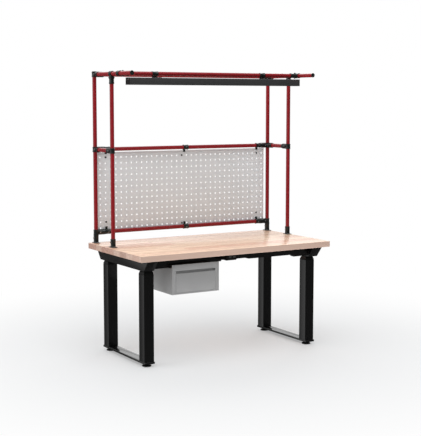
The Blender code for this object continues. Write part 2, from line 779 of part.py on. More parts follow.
def case_mesh():
    """The drawer unit's case with its face frame, its runners and its hangers."""
    half = CASE_WIDTH / 2
    shell = block((-half, FACE_THICKNESS / 2, CASE_BOTTOM), (half, CASE_DEPTH, CASE_TOP))
    face = block((-half, 0, CASE_BOTTOM), (half, FACE_THICKNESS, CASE_BOTTOM + FACE_HEIGHT))
    cavity = block((-half + CASE_WALL, FACE_THICKNESS, CASE_BOTTOM + CASE_WALL),
                   (half - CASE_WALL, CASE_DEPTH - CASE_WALL, CASE_TOP - CASE_WALL))
    opening_half, opening_low, opening_high = face_opening()
    opening = block((-opening_half, -CUT_OVERRUN, opening_low),
                    (opening_half, FACE_THICKNESS + CUT_OVERRUN, opening_high))
    case = cut(joined(face, [shell]), [cavity, opening])
    start, end = slide_span()
    runners = [extrusion(runner_outline(side), "Y", start, end) for _, side in LEFT_RIGHT]
    beam = -BEAM_Y - CASE_FACE_Y
    front_hanger = extrusion(hat_outline(BEAM_BOTTOM - TOUCH_GAP), "Y",
                             beam - HANGER_DEPTH / 2, beam + HANGER_DEPTH / 2)
    rear_end = CASE_DEPTH - HANGER_REAR_INSET
    rear_hanger = extrusion(hat_outline(FRAME_TOP), "Y", rear_end - HANGER_DEPTH, rear_end)
    return joined(case, [*runners, front_hanger, rear_hanger])


def drawer_box_mesh():
    """The drawer's open tray, with a slide on each side."""
    slide_inner, slide_outer, slide_low, slide_high = slide_section()
    half = slide_inner
    _, opening_low, _ = face_opening()
    start, end = slide_span()
    low = opening_low + BOX_FLOOR_GAP
    high = low + BOX_HEIGHT
    tray = block((-half, start, low), (half, end, high))
    inside = block((-half + DRAWER_SHEET, start + DRAWER_SHEET, low + DRAWER_SHEET),
                   (half - DRAWER_SHEET, end - DRAWER_SHEET, high + CUT_OVERRUN))
    slides = []
    for _, side in LEFT_RIGHT:
        edges = sorted((side * (half - DRAWER_SHEET / 2), side * slide_outer))
        slides.append(block((edges[0], start, slide_low), (edges[1], end, slide_high)))
    return joined(cut(tray, [inside]), slides)


def drawer_front_mesh():
    """The drawer's inset front: a folded pan with a finger trough along its top."""
    opening_half, opening_low, opening_high = face_opening()
    half = opening_half - DRAWER_REVEAL
    low = opening_low + DRAWER_REVEAL
    high = opening_high - DRAWER_REVEAL
    depth = DRAWER_FRONT_DEPTH + DRAWER_REVEAL - TOUCH_GAP
    lip_top = high - GRIP_HEIGHT
    trough = lip_top - GRIP_TROUGH
    back = depth - DRAWER_SHEET
    outline = [
        (0, low),
        (0, lip_top),
        (GRIP_LIP, lip_top),
        (GRIP_LIP, trough),
        (back, trough),
        (back, high),
        (depth, high),
        (depth, low),
    ]
    pan = extrusion(outline, "X", -half, half)
    hollow = block((-half + DRAWER_SHEET, DRAWER_SHEET, low + DRAWER_SHEET),
                   (half - DRAWER_SHEET, depth + CUT_OVERRUN, trough - DRAWER_SHEET))
    return cut(pan, [hollow])


def pipe_mesh(length):
    """A pipe along Z from its start, open at both ends."""
    outer = circle(PIPE_DIAMETER / 2)
    bore = circle(PIPE_DIAMETER / 2 - PIPE_WALL)
    return tube(sections_along("Z", (outer, 0), (outer, length)),
                sections_along("Z", (bore, 0), (bore, length)))


def capped_pipe_mesh(length):
    """A pipe along Z from its start, with a push-in cap on its far end."""
    outer = circle(PIPE_DIAMETER / 2)
    bore = circle(PIPE_DIAMETER / 2 - PIPE_WALL)
    cap = circle(CAP_DIAMETER / 2)
    top = length + CAP_THICKNESS
    return loft(sections_along("Z", (bore, length - CAP_THICKNESS), (bore, 0), (outer, 0),
                               (outer, length), (cap, length), (cap, top)))


def clamp_joint(branches):
    """A clamp joint: a ring along Z round the through pipe, and a sleeve for each branch."""
    half = JOINT_RING_LENGTH / 2
    ring = cylinder(JOINT_DIAMETER / 2, -half, half)
    sleeve = cylinder(JOINT_SLEEVE_DIAMETER / 2, 0, JOINT_REACH)
    body = joined(ring, [moved(sleeve, aimed(branch)) for branch in branches])
    bore = PIPE_DIAMETER / 2 + JOINT_CLEARANCE
    through = cylinder(bore, -half - CUT_OVERRUN, half + CUT_OVERRUN)
    blind = cylinder(bore, BRANCH_START - TOUCH_GAP, JOINT_REACH + CUT_OVERRUN)
    return cut(body, [through, *(moved(blind, aimed(branch)) for branch in branches)])


def upright_x(side):
    """The place of the uprights on one side."""
    return RACK_SHIFT_X + side * UPRIGHT_SPREAD / 2


def socket_mesh():
    """A flanged socket on the worktop that an upright stands in."""
    flange_outline = rounded_rectangle(SOCKET_FLANGE_WIDTH, SOCKET_FLANGE_LENGTH,
                                       SOCKET_FLANGE_CORNER)
    flange = extrusion(flange_outline, "Z", 0, SOCKET_FLANGE_THICKNESS)
    barrel = cylinder(SOCKET_DIAMETER / 2, SOCKET_FLANGE_THICKNESS / 2, SOCKET_HEIGHT)
    bore = cylinder(PIPE_DIAMETER / 2 + JOINT_CLEARANCE, SOCKET_FLANGE_THICKNESS,
                    SOCKET_HEIGHT + CUT_OVERRUN)
    return cut(joined(flange, [barrel]), [bore])


def hole_height(row):
    """The height of a row of holes, counted from the top."""
    return PANEL_TOP - TOP_HOLE_DROP - row * HOLE_PITCH_Z


def strap_outline(edge, arm_end):
    """A clip's strap in Y and in distance towards the panel, from its rail's axis."""
    face = PANEL_FRONT_Y - REAR_PIPE_Y - TOUCH_GAP
    front = face - CLIP_STRAP_THICKNESS
    arm = face + PANEL_SHEET + 2 * TOUCH_GAP
    back = arm + CLIP_STRAP_THICKNESS
    bar_in = edge - TOUCH_GAP
    bar_out = bar_in - CLIP_STRAP_THICKNESS
    tongue = [(front, CLIP_TONGUE_REACH), (face, CLIP_TONGUE_REACH), (face, bar_in)]
    arm_side = [(arm, bar_in), (arm, arm_end), (back, arm_end), (back, bar_out)]
    if bar_out < 0:
        return [(front, bar_out), *tongue, *arm_side]
    root = face - CLIP_STRAP_THICKNESS / 2
    return [(front, CLIP_ROOT), *tongue, *arm_side, (face, bar_out), (root, CLIP_ROOT)]


def clip_parts(towards, edge, place, hole_shift, hole):
    """The ring, the strap and its foot over the bolt's hole, on a rail along X through zero."""
    half = CLIP_RING_LENGTH / 2
    ring = moved(cylinder(JOINT_DIAMETER / 2, place - half, place + half), aimed((1, 0, 0)))
    arm_end = hole + CLIP_ARM_PAST_HOLE
    outline = strap_outline(edge, arm_end)
    outline = [(y, towards * reach) for y, reach in outline]
    half_strap = CLIP_STRAP_WIDTH / 2
    parts = [ring, extrusion(outline, "X", place - half_strap, place + half_strap)]
    if hole_shift:
        start = PANEL_FRONT_Y - REAR_PIPE_Y + PANEL_SHEET + TOUCH_GAP
        heights = sorted((towards * (hole - CLIP_ARM_PAST_HOLE), towards * arm_end))
        foot = block((place + hole_shift - half_strap, start, heights[0]),
                     (place + half_strap, start + CLIP_STRAP_THICKNESS, heights[1]))
        parts.append(foot)
    return parts


def panel_rail_mesh(height, towards):
    """A rail with its three panel clips; the lower one also has a joint at each end."""
    along = aimed((1, 0, 0))
    half = UPRIGHT_SPREAD / 2
    end = half - BRANCH_START
    edge = towards * (PANEL_BOTTOM - height) if towards > 0 else height - PANEL_TOP
    body = moved(cylinder(PIPE_DIAMETER / 2, -end, end), along)
    tools = []
    for place in (-1, 0, 1):
        shift = 0 if place else -HOLE_PITCH_X / 2
        last_row = HOLE_ROWS - 2 if place else HOLE_ROWS - 1
        row = last_row if towards > 0 else 0
        hole = towards * (hole_height(row) - height)
        tools += clip_parts(towards, edge, place * SIDE_CLIP_SPREAD / 2, shift, hole)
    bore = PIPE_DIAMETER / 2 - PIPE_WALL
    reach = end + CUT_OVERRUN
    cutters = []
    if towards > 0:
        reach = half
        ring_half = JOINT_RING_LENGTH / 2
        ring = cylinder(JOINT_DIAMETER / 2, -ring_half, ring_half)
        through = cylinder(PIPE_DIAMETER / 2 + JOINT_CLEARANCE, -ring_half - CUT_OVERRUN,
                           ring_half + CUT_OVERRUN)
        sleeve = cylinder(JOINT_SLEEVE_DIAMETER / 2, 0, JOINT_REACH)
        for _, side in LEFT_RIGHT:
            tools.append(shifted(ring, x=side * half))
            inward = aimed((-side, 0, 0))
            tools.append(shifted(moved(sleeve, inward), x=side * half))
            cutters.append(shifted(through, x=side * half))
    cutters.append(moved(cylinder(bore, -reach, reach), along))
    return cut(joined(body, tools), cutters)


def panel_layer(shape, half, y):
    """One face of the perforated sheet; returns its corners and those of its holes."""
    outline = rectangle(-half, PANEL_BOTTOM, half, PANEL_TOP)
    loops = [[shape.verts.new((x, y, z)) for x, z in outline]]
    half_hole = HOLE_SIZE / 2
    for row in range(HOLE_ROWS):
        z = hole_height(row)
        for column in range(HOLE_COLUMNS):
            x = (column - (HOLE_COLUMNS - 1) / 2) * HOLE_PITCH_X
            hole = rectangle(x - half_hole, z - half_hole, x + half_hole, z + half_hole)
            loops.append([shape.verts.new((first, y, second)) for first, second in hole])
    edges = []
    for loop in loops:
        edges += [shape.edges.new(pair) for pair in zip(loop, loop[1:] + loop[:1])]
    bmesh.ops.triangle_fill(shape, use_beauty=False, use_dissolve=False, edges=edges,
                            normal=(0, -1, 0))
    return loops[0], loops[1:]


def panel_mesh():
    """The perforated sheet, with its two side edges folded back."""
    shape = bmesh.new()
    half = PANEL_WIDTH / 2
    inner = half - PANEL_SHEET
    front, front_holes = panel_layer(shape, half, 0)
    back, back_holes = panel_layer(shape, inner, PANEL_SHEET)
    for first, second in zip(front_holes, back_holes):
        bridge(shape, first, second)
    corners = rectangle(-half, PANEL_BOTTOM, half, PANEL_TOP)
    outer = [shape.verts.new((x, PANEL_RETURN, z)) for x, z in corners]
    corners = rectangle(-inner, PANEL_BOTTOM, inner, PANEL_TOP)
    fold = [shape.verts.new((x, PANEL_RETURN, z)) for x, z in corners]
    for left, right in ((0, 1), (3, 2)):
        shape.faces.new((front[left], front[right], outer[right], fold[right],
                         back[right], back[left], fold[left], outer[left]))
    for low, high in ((0, 3), (1, 2)):
        shape.faces.new((front[low], front[high], outer[high], outer[low]))
        shape.faces.new((outer[low], outer[high], fold[high], fold[low]))
        shape.faces.new((fold[low], fold[high], back[high], back[low]))
    return closed(shape)


def light_hanger_parts(x):
    """The ring and the arm of a hanger, in the light bar's frame."""
    half = LIGHT_HANGER_WIDTH / 2
    bar_y = FRONT_BAR_Y - LIGHT_FRONT_Y
    place = Matrix.Translation((x, bar_y, TOP_RAIL_HEIGHT)) @ aimed((1, 0, 0))
    ring = moved(cylinder(JOINT_DIAMETER / 2, -half, half), place)
    neck = LIGHT_HANGER_NECK / 2
    neck_top = TOP_RAIL_HEIGHT - (PIPE_DIAMETER + JOINT_DIAMETER) / 4
    foot_low = LIGHT_TOP - LIGHT_WALL / 2
    foot_high = LIGHT_TOP + LIGHT_HANGER_FOOT
    outline = [
        (LIGHT_HANGER_FOOT_INSET, foot_low),
        (LIGHT_DEPTH - LIGHT_HANGER_FOOT_INSET, foot_low),
        (bar_y + neck, foot_high),
        (bar_y + neck, neck_top),
        (bar_y - neck, neck_top),
        (bar_y - neck, foot_high),
        (LIGHT_HANGER_FOOT_INSET, foot_high),
    ]
    return [ring, extrusion(outline, "X", x - half, x + half)]


def light_housing_mesh():
    """The light bar's extrusion, open below for its cover, with its two hangers."""
    half = LIGHT_LENGTH / 2
    back = LIGHT_DEPTH
    bottom = LIGHT_TOP - LIGHT_HEIGHT
    outline = [
        (0, bottom),
        (0, LIGHT_TOP - LIGHT_CORNER),
        (LIGHT_CORNER, LIGHT_TOP),
        (back - LIGHT_CORNER, LIGHT_TOP),
        (back, LIGHT_TOP - LIGHT_CORNER),
        (back, bottom),
    ]
    body = extrusion(outline, "X", -half, half)
    roof = LIGHT_TOP - LIGHT_WALL - LIGHT_CORNER
    pocket = block((-half + LIGHT_WALL, LIGHT_WALL, bottom - CUT_OVERRUN),
                   (half - LIGHT_WALL, back - LIGHT_WALL, roof))
    reach = LIGHT_HANGER_WIDTH / 2 + CUT_OVERRUN
    bore = cylinder(PIPE_DIAMETER / 2 + JOINT_CLEARANCE, -reach, reach)
    hangers = []
    cutters = [pocket]
    for _, side in LEFT_RIGHT:
        x = LIGHT_HANGER_SHIFT_X + side * LIGHT_HANGER_SPREAD / 2
        hangers += light_hanger_parts(x)
        place = Matrix.Translation((x, FRONT_BAR_Y - LIGHT_FRONT_Y, TOP_RAIL_HEIGHT))
        cutters.append(moved(bore, place @ aimed((1, 0, 0))))
    return cut(joined(body, hangers), cutters)


def diffuser_mesh():
    """The light bar's lower cover."""
    wall = LIGHT_WALL + TOUCH_GAP
    half = LIGHT_LENGTH / 2 - wall
    low = LIGHT_TOP - LIGHT_HEIGHT + DIFFUSER_RECESS
    return block((-half, wall, low), (half, LIGHT_DEPTH - wall, low + DIFFUSER_THICKNESS))


def led_board_mesh():
    """The board that carries the light sources, under the housing's roof."""
    half = LIGHT_LENGTH / 2 - LIGHT_WALL - TOUCH_GAP
    middle = LIGHT_DEPTH / 2
    high = LIGHT_TOP - LIGHT_WALL - LIGHT_CORNER - TOUCH_GAP
    return block((-half, middle - LED_BOARD_WIDTH / 2, high - LED_BOARD_THICKNESS),
                 (half, middle + LED_BOARD_WIDTH / 2, high))


def build_base(base, surfaces):
    """Base plates, outer columns and feet."""
    plate = base_plate_mesh()
    for side_name, side in LEFT_RIGHT:
        place = (side * COLUMN_SPREAD_X / 2, 0, 0)
        piece(f"base_plate_{side_name}", plate, surfaces["frame"], base, place)
    column = outer_column_mesh()
    foot = foot_mesh()
    for name, x, y in column_places():
        piece(f"outer_column_{name}", column, surfaces["frame"], base, (x, y, 0))
        piece(f"foot_{name}", foot, surfaces["plastic"], base, (x, y, 0))


def build_lift_frame(lift, surfaces):
    """Inner columns, screws, rails, beams, worktop and controller."""
    column = inner_column_mesh()
    screw = screw_mesh()
    for name, x, y in column_places():
        piece(f"inner_column_{name}", column, surfaces["steel"], lift, (x, y, 0))
        piece(f"lead_screw_{name}", screw, surfaces["steel"], lift, (x, y, 0))
    for side_name, side in LEFT_RIGHT:
        place = (side * RAIL_X, 0, 0)
        piece(f"side_rail_{side_name}", side_rail_mesh(side), surfaces["frame"], lift, place)
    beam = beam_mesh()
    for depth_name, depth_side in FRONT_REAR:
        place = (0, depth_side * BEAM_Y, 0)
        piece(f"{depth_name}_beam", beam, surfaces["frame"], lift, place)
    piece("worktop", worktop_mesh(), surfaces["wood"], lift)
    place = (CONTROLLER_X, CONTROLLER_Y, 0)
    piece("control_box", controller_mesh(), surfaces["plastic"], lift, place)


def build_handset(lift, surfaces):
    """The handset and its two buttons."""
    front = -TOP_DEPTH / 2 + HANDSET_FRONT_INSET
    middle = Vector((HANDSET_X, front + HANDSET_DEPTH / 2, 0))
    piece("handset", handset_mesh(), surfaces["plastic"], lift, middle)
    button = button_mesh()
    for name, side in (("button_down", -1), ("button_up", 1)):
        piece(name, button, surfaces["plastic"], lift, middle + button_centre(side))


def build_drawer(lift, surfaces):
    """The drawer unit and what slides out of it."""
    place = (CASE_X, CASE_FACE_Y, 0)
    piece("drawer_housing", case_mesh(), surfaces["grey"], lift, place)
    drawer = empty("drawer", place, lift)
    piece("drawer_box", drawer_box_mesh(), surfaces["grey"], drawer)
    piece("drawer_front", drawer_front_mesh(), surfaces["grey"], drawer)


def build_uprights(lift, surfaces):
    """The uprights in their sockets, and the rails that run from front to rear."""
    socket = socket_mesh()
    rear = capped_pipe_mesh(TOP_RAIL_HEIGHT + UPRIGHT_TOP_RISE - UPRIGHT_FOOT)
    front = pipe_mesh(TOP_RAIL_HEIGHT - BRANCH_START - UPRIGHT_FOOT)
    rear_end = REAR_PIPE_Y - BRANCH_START
    mid = pipe_mesh(rear_end - FRONT_PIPE_Y - BRANCH_START)
    top = capped_pipe_mesh(rear_end - TOP_RAIL_FRONT_Y)
    forward = aimed((0, -1, 0))
    for side_name, side in LEFT_RIGHT:
        x = upright_x(side)
        for depth_name, pipe, y in (("front", front, FRONT_PIPE_Y), ("rear", rear, REAR_PIPE_Y)):
            name = f"{depth_name}_{side_name}"
            piece(f"socket_{name}", socket, surfaces["black"], lift, (x, y, SOCKET_FOOT))
            piece(f"upright_{name}", pipe, surfaces["red"], lift, (x, y, UPRIGHT_FOOT))
        place = (x, rear_end, MID_RAIL_HEIGHT)
        piece(f"mid_side_rail_{side_name}", mid, surfaces["red"], lift, place, forward)
        place = (x, rear_end, TOP_RAIL_HEIGHT)
        piece(f"top_side_rail_{side_name}", top, surfaces["red"], lift, place, forward)


def build_cross_pipes(lift, surfaces):
    """The two panel rails and the two top bars."""
    for name, height, towards in (("panel_rail_upper", MID_RAIL_HEIGHT, -1),
                                  ("panel_rail_lower", LOWER_RAIL_HEIGHT, 1)):
        place = (RACK_SHIFT_X, REAR_PIPE_Y, height)
        piece(name, panel_rail_mesh(height, towards), surfaces["red"], lift, place)
    start = upright_x(-1) + BRANCH_START
    bar = pipe_mesh(upright_x(1) - BRANCH_START - start)
    for name, y in (("top_bar_front", FRONT_BAR_Y), ("top_bar_rear", REAR_PIPE_Y)):
        place = (start, y, TOP_RAIL_HEIGHT)
        piece(name, bar, surfaces["red"], lift, place, aimed((1, 0, 0)))


def build_joints(lift, surfaces):
    """The clamp joints of the rack."""
    tee = clamp_joint([(1, 0, 0)])
    corner = clamp_joint([(1, 0, 0), (0, 1, 0)])
    for side_name, side in LEFT_RIGHT:
        x = upright_x(side)
        inward = (-side, 0, 0)
        first_branch = (0, -1, 0) if side < 0 else inward
        tees = {
            "mid_tee": (FRONT_PIPE_Y, MID_RAIL_HEIGHT, turned(BACK, UP)),
            "top_tee": (FRONT_PIPE_Y, TOP_RAIL_HEIGHT, turned(DOWN, BACK)),
            "bar_tee": (FRONT_BAR_Y, TOP_RAIL_HEIGHT, turned(inward, BACK)),
        }
        for name, (y, z, turn) in tees.items():
            piece(f"{name}_{side_name}", tee, surfaces["black"], lift, (x, y, z), turn)
        for name, z in (("mid_corner", MID_RAIL_HEIGHT), ("top_corner", TOP_RAIL_HEIGHT)):
            place = (x, REAR_PIPE_Y, z)
            turn = turned(first_branch, UP)
            piece(f"{name}_{side_name}", corner, surfaces["black"], lift, place, turn)


def build_panel_and_light(lift, surfaces):
    """The perforated panel and the light bar."""
    place = (RACK_SHIFT_X, PANEL_FRONT_Y, 0)
    piece("perforated_panel", panel_mesh(), surfaces["panel"], lift, place)
    place = (RACK_SHIFT_X + LIGHT_SHIFT_X, LIGHT_FRONT_Y, 0)
    piece("light_housing", light_housing_mesh(), surfaces["light"], lift, place)
    piece("light_diffuser", diffuser_mesh(), surfaces["diffuser"], lift, place)
    piece("led_board", led_board_mesh(), surfaces["panel"], lift, place)


def main():
    """Build the whole bench."""
    clear_scene()
    surfaces = {
        "frame": finish("black_powder_coat", (0.012, 0.012, 0.013), 0.5),
        "plastic": finish("black_plastic", (0.01, 0.01, 0.01), 0.45),
        "black": finish("black_joint_coat", (0.01, 0.012, 0.011), 0.3, 0.6),
        "steel": finish("zinc_steel", (0.45, 0.45, 0.46), 0.35, 1.0),
        "wood": finish("beech", (0.85, 0.65, 0.48), 0.3),
        "red": finish("red_pipe_coat", (0.25, 0.012, 0.016), 0.3),
        "grey": finish("grey_drawer_paint", (0.28, 0.28, 0.29), 0.45),
        "panel": finish("light_grey_sheet", (0.55, 0.54, 0.53), 0.45),
        "light": finish("dark_grey_housing", (0.04, 0.04, 0.042), 0.4, 0.5),
        "diffuser": finish("opal_cover", (0.9, 0.9, 0.88), 0.4),
    }
    base = empty("base")
    lift = empty("lift", parent=base)
    build_base(base, surfaces)
    build_lift_frame(lift, surfaces)
    build_handset(lift, surfaces)
    build_drawer(lift, surfaces)
    build_uprights(lift, surfaces)
    build_cross_pipes(lift, surfaces)
    build_joints(lift, surfaces)
    build_panel_and_light(lift, surfaces)


main()
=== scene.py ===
"""Finished look of the height-adjustable workbench, laid out as a Blender add-on.

Lengths are in metres, +X to the right as seen from the front, -Y to the front, +Z up.
"""
import json
import math

import bmesh
import bpy
from mathutils import Matrix, Vector

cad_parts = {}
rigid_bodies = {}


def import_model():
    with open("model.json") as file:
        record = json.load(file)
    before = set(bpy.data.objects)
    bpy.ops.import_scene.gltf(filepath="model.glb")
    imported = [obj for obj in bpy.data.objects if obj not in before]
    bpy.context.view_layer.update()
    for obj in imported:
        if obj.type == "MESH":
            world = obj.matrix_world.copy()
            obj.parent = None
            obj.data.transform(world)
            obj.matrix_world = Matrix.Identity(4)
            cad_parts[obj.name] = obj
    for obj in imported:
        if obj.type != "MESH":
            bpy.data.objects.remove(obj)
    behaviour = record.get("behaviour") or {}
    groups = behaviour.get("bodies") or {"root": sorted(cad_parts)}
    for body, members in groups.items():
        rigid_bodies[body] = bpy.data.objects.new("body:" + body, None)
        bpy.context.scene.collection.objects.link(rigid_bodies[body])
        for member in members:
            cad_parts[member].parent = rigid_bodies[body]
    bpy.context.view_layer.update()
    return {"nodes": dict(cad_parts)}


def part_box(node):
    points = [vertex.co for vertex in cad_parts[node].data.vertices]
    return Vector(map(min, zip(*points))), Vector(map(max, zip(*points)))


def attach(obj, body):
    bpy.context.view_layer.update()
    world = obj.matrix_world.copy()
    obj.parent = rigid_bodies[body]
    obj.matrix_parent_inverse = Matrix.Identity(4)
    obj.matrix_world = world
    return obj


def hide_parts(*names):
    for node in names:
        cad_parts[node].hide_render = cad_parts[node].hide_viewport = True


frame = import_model()

bl_info = {
    "name": "Height-adjustable workbench",
    "version": (1, 0, 0),
    "blender": (4, 5, 0),
    "location": "3D View > Sidebar > Bench",
    "description": "Builds the visible pieces and finishes of a workbench with a pipe rack",
    "category": "Object",
}

UP = Vector((0, 0, 1))
ALONG = Vector((1, 0, 0))
BACK = Vector((0, 1, 0))
SIDES = (("left", -1), ("right", 1))
CORNERS = ("front_left", "front_right", "rear_left", "rear_right")
BEAMS = ("front_beam", "rear_beam")
SMOOTH_ANGLE = math.radians(35)
FLAT_ANGLE = math.radians(1)
WELD = 0.00001
ROUND_SIDES = 40
SMALL_SIDES = 24
FIT = 0.0002                # air between a pipe and what goes round it

# Sizes that the solids were made with and that the finer pieces keep to
RING_LENGTH = 0.036
SLEEVE_REACH = 0.068
BRANCH_START = 0.021
CLIP_REACH = 0.034
CLIP_STRAP = 0.016
CLIP_LENGTH = 0.04
SIDE_CLIP_SHIFT = 0.629
HOLE_PITCH = 0.0408
TOP_HOLE_DROP = 0.036
BOTTOM_HOLE_RISE = 0.0356
HOLE_ROWS = 13
PANEL_SHEET = 0.002
LIGHT_HEIGHT = 0.0475
LIGHT_DEPTH = 0.05
HANGER_SHIFT = -0.03
HANGER_INSET = 0.254
HANGER_WIDTH = 0.045
GRIP_HEIGHT = 0.0172
GRIP_TROUGH = 0.015
GRIP_LIP = 0.003
DRAWER_SHEET = 0.0015
GLIDE_RING = 0.003
BRACKET_REACH = 0.14
BRACKET_RISE = 0.0113


def middle(node):
    """The middle of a node's box."""
    low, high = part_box(node)
    return (low + high) / 2


LEFT_X = middle("upright_front_left").x
RIGHT_X = middle("upright_front_right").x
RACK_X = (LEFT_X + RIGHT_X) / 2
FRONT_Y = middle("upright_front_left").y
REAR_Y = middle("top_bar_rear").y
BAR_Y = middle("top_bar_front").y
MID_Z = middle("mid_side_rail_left").z
TOP_Z = middle("top_side_rail_left").z
LOWER_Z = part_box("panel_rail_lower")[0].z + RING_LENGTH / 2
PANEL_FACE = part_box("perforated_panel")[0].y


# Meshes

def ring_wall(shape, rings, place=Matrix(), capped=False):
    """A wall through outlines at heights, capped or else joined back to the first."""
    made = [[shape.verts.new(place @ Vector((x, y, z))) for x, y in outline]
            for outline, z in rings]
    for ring, after in zip(made, made[1:] if capped else made[1:] + made[:1]):
        for index in range(len(ring)):
            step = (index + 1) % len(ring)
            shape.faces.new((ring[index], ring[step], after[step], after[index]))
    if capped:
        shape.faces.new(list(reversed(made[0])))
        shape.faces.new(made[-1])


def circle(radius, sides):
    """A circle as an outline."""
    turns = [math.tau * side / sides for side in range(sides)]
    return [(radius * math.cos(turn), radius * math.sin(turn)) for turn in turns]


def lathe(shape, rings, place, sides=ROUND_SIDES):
    """Turn (radius, height) pairs round Z into a closed solid."""
    ring_wall(shape, [(circle(radius, sides), z) for radius, z in rings], place, True)


def tube_wall(shape, outer, inner, place):
    """Turn an outer and an inner profile, both listed upwards, into a closed wall."""
    rings = [*outer, *reversed(inner)]
    ring_wall(shape, [(circle(radius, ROUND_SIDES), z) for radius, z in rings], place)


def prism(shape, outline, low, high, place=Matrix()):
    """An outline in X and Y pushed along Z and closed."""
    ring_wall(shape, [(outline, low), (outline, high)], place, True)


def box(shape, first, second, place=Matrix()):
    """A closed box between two opposite corners."""
    first = Vector(first)
    second = Vector(second)
    size = [abs(reach) for reach in second - first]
    matrix = place @ Matrix.Translation((first + second) / 2) @ Matrix.Diagonal((*size, 1))
    bmesh.ops.create_cube(shape, size=1, matrix=matrix)


def profile(radius, low, lower, high, upper):
    """Rings given by an inset and by how far they lie above one end or below the other."""
    return ([(radius - inset, low + rise) for inset, rise in lower]
            + [(radius - inset, high - drop) for inset, drop in upper])


def banded_ring(shape, place, radius, bore, half, rim):
    """A round band with a raised rim at each end."""
    outer = profile(radius, -half, rim, half, reversed(rim))
    tube_wall(shape, outer, [(bore, -half), (bore, half)], place)


def rounded_outline(width, depth, corner, steps=6):
    """A rectangle with round corners, centred on zero."""
    points = []
    for quarter, (side_x, side_y) in enumerate(((1, 1), (-1, 1), (-1, -1), (1, -1))):
        for step in range(steps + 1):
            turn = (quarter + step / steps) * math.pi / 2
            x = side_x * (width / 2 - corner) + corner * math.cos(turn)
            y = side_y * (depth / 2 - corner) + corner * math.sin(turn)
            points.append((x, y))
    return points


def ease_edges(shape, width, steps=2):
    """Round the sharp edges of a shape."""
    edges = [edge for edge in shape.edges if edge.calc_face_angle(0) > SMOOTH_ANGLE]
    bmesh.ops.bevel(shape, geom=edges, offset=width, segments=steps, profile=0.5,
                    affect="EDGES", clamp_overlap=True)


def at(point, direction=UP, across=None):
    """The place of a shape whose Z looks along a direction, and its X along a second."""
    direction = Vector(direction).normalized()
    if across is None:
        turn = direction.to_track_quat("Z", "Y").to_matrix()
    else:
        across = Vector(across).normalized()
        turn = Matrix((across, direction.cross(across), direction)).transposed()
    return Matrix.Translation(point) @ turn.to_4x4()


CROSSWISE = at((0, 0, 0), ALONG, BACK)      # for an outline in Y and Z, pushed along X


def as_piece(name, mesh, body, slot, nodes=()):
    """Put a mesh in the scene as a piece that rides on a body."""
    mesh.materials.clear()
    mesh.materials.append(surface_of(slot))
    mesh.shade_smooth()
    mesh.set_sharp_from_angle(angle=SMOOTH_ANGLE)
    item = bpy.data.objects.new(name, mesh)
    bpy.context.scene.collection.objects.link(item)
    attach(item, body)
    if nodes:
        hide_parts(*nodes)


def as_mesh(name, shape):
    """Turn a bmesh into a mesh."""
    mesh = bpy.data.meshes.new(name)
    shape.to_mesh(mesh)
    shape.free()
    return mesh


def finish_piece(name, shape, body, slot, nodes=()):
    """Turn a bmesh into a piece."""
    bmesh.ops.recalc_face_normals(shape, faces=shape.faces)
    as_piece(name, as_mesh(name, shape), body, slot, nodes)


def softened(node, body, slot, width, steps=2):
    """A copy of a solid with its sharp edges rounded, which stands for the solid."""
    shape = bmesh.new()
    shape.from_mesh(frame["nodes"][node].data)
    bmesh.ops.remove_doubles(shape, verts=shape.verts, dist=WELD)
    bmesh.ops.dissolve_limit(shape, angle_limit=FLAT_ANGLE, verts=shape.verts,
                             edges=shape.edges)
    ease_edges(shape, width, steps)
    as_piece(f"{node}_finished", as_mesh(node, shape), body, slot, [node])


# Node trees

VALUE = "NodeSocketFloat"
COUNT = "NodeSocketInt"
VECTOR = "NodeSocketVector"
MATERIAL = "NodeSocketMaterial"
GEOMETRY = "NodeSocketGeometry"


def fill(tree, sockets, values):
    """Give sockets their values, or link them to other nodes' outputs."""
    for key, value in values.items():
        if isinstance(value, bpy.types.NodeSocket):
            tree.links.new(value, sockets[key])
        else:
            sockets[key].default_value = value


def put(tree, kind, sockets=None, **settings):
    """Add a node with its settings and its inputs."""
    made = tree.nodes.new(kind)
    for key, value in settings.items():
        setattr(made, key, value)
    fill(tree, made.inputs, sockets or {})
    return made


def out(tree, kind, sockets=None, **settings):
    """The first output of an added node."""
    return put(tree, kind, sockets, **settings).outputs[0]


def maths(tree, operation, first, second=0.0):
    """One sum on two values."""
    return out(tree, "ShaderNodeMath", {0: first, 1: second}, operation=operation)


def vectors(tree, operation, output, *inputs):
    """One sum on vectors."""
    made = put(tree, "ShaderNodeVectorMath", dict(enumerate(inputs)), operation=operation)
    return made.outputs[output]


def blended(tree, factor, first, second, how="MIX"):
    """Two colours mixed by a factor."""
    made = put(tree, "ShaderNodeMix", {0: factor, 6: first, 7: second}, data_type="RGBA",
               blend_type=how, clamp_result=False)
    return made.outputs[2]


def remapped(tree, value, start=0.0, end=1.0, low=0.0, high=1.0, smooth=False):
    """A value brought from one range to another."""
    return out(tree, "ShaderNodeMapRange", {
        "Value": value, "From Min": start, "From Max": end, "To Min": low, "To Max": high},
        interpolation_type="SMOOTHSTEP" if smooth else "LINEAR")


def noise(tree, vector, scale, detail, roughness=0.5, distortion=0.0):
    """A noise pattern's value."""
    return out(tree, "ShaderNodeTexNoise", {
        "Vector": vector, "Scale": scale, "Detail": detail, "Roughness": roughness,
        "Distortion": distortion})


def mixed_shader(tree, factor, first, second):
    """Two shaders mixed by a factor."""
    return out(tree, "ShaderNodeMixShader", {0: factor, 1: first, 2: second})


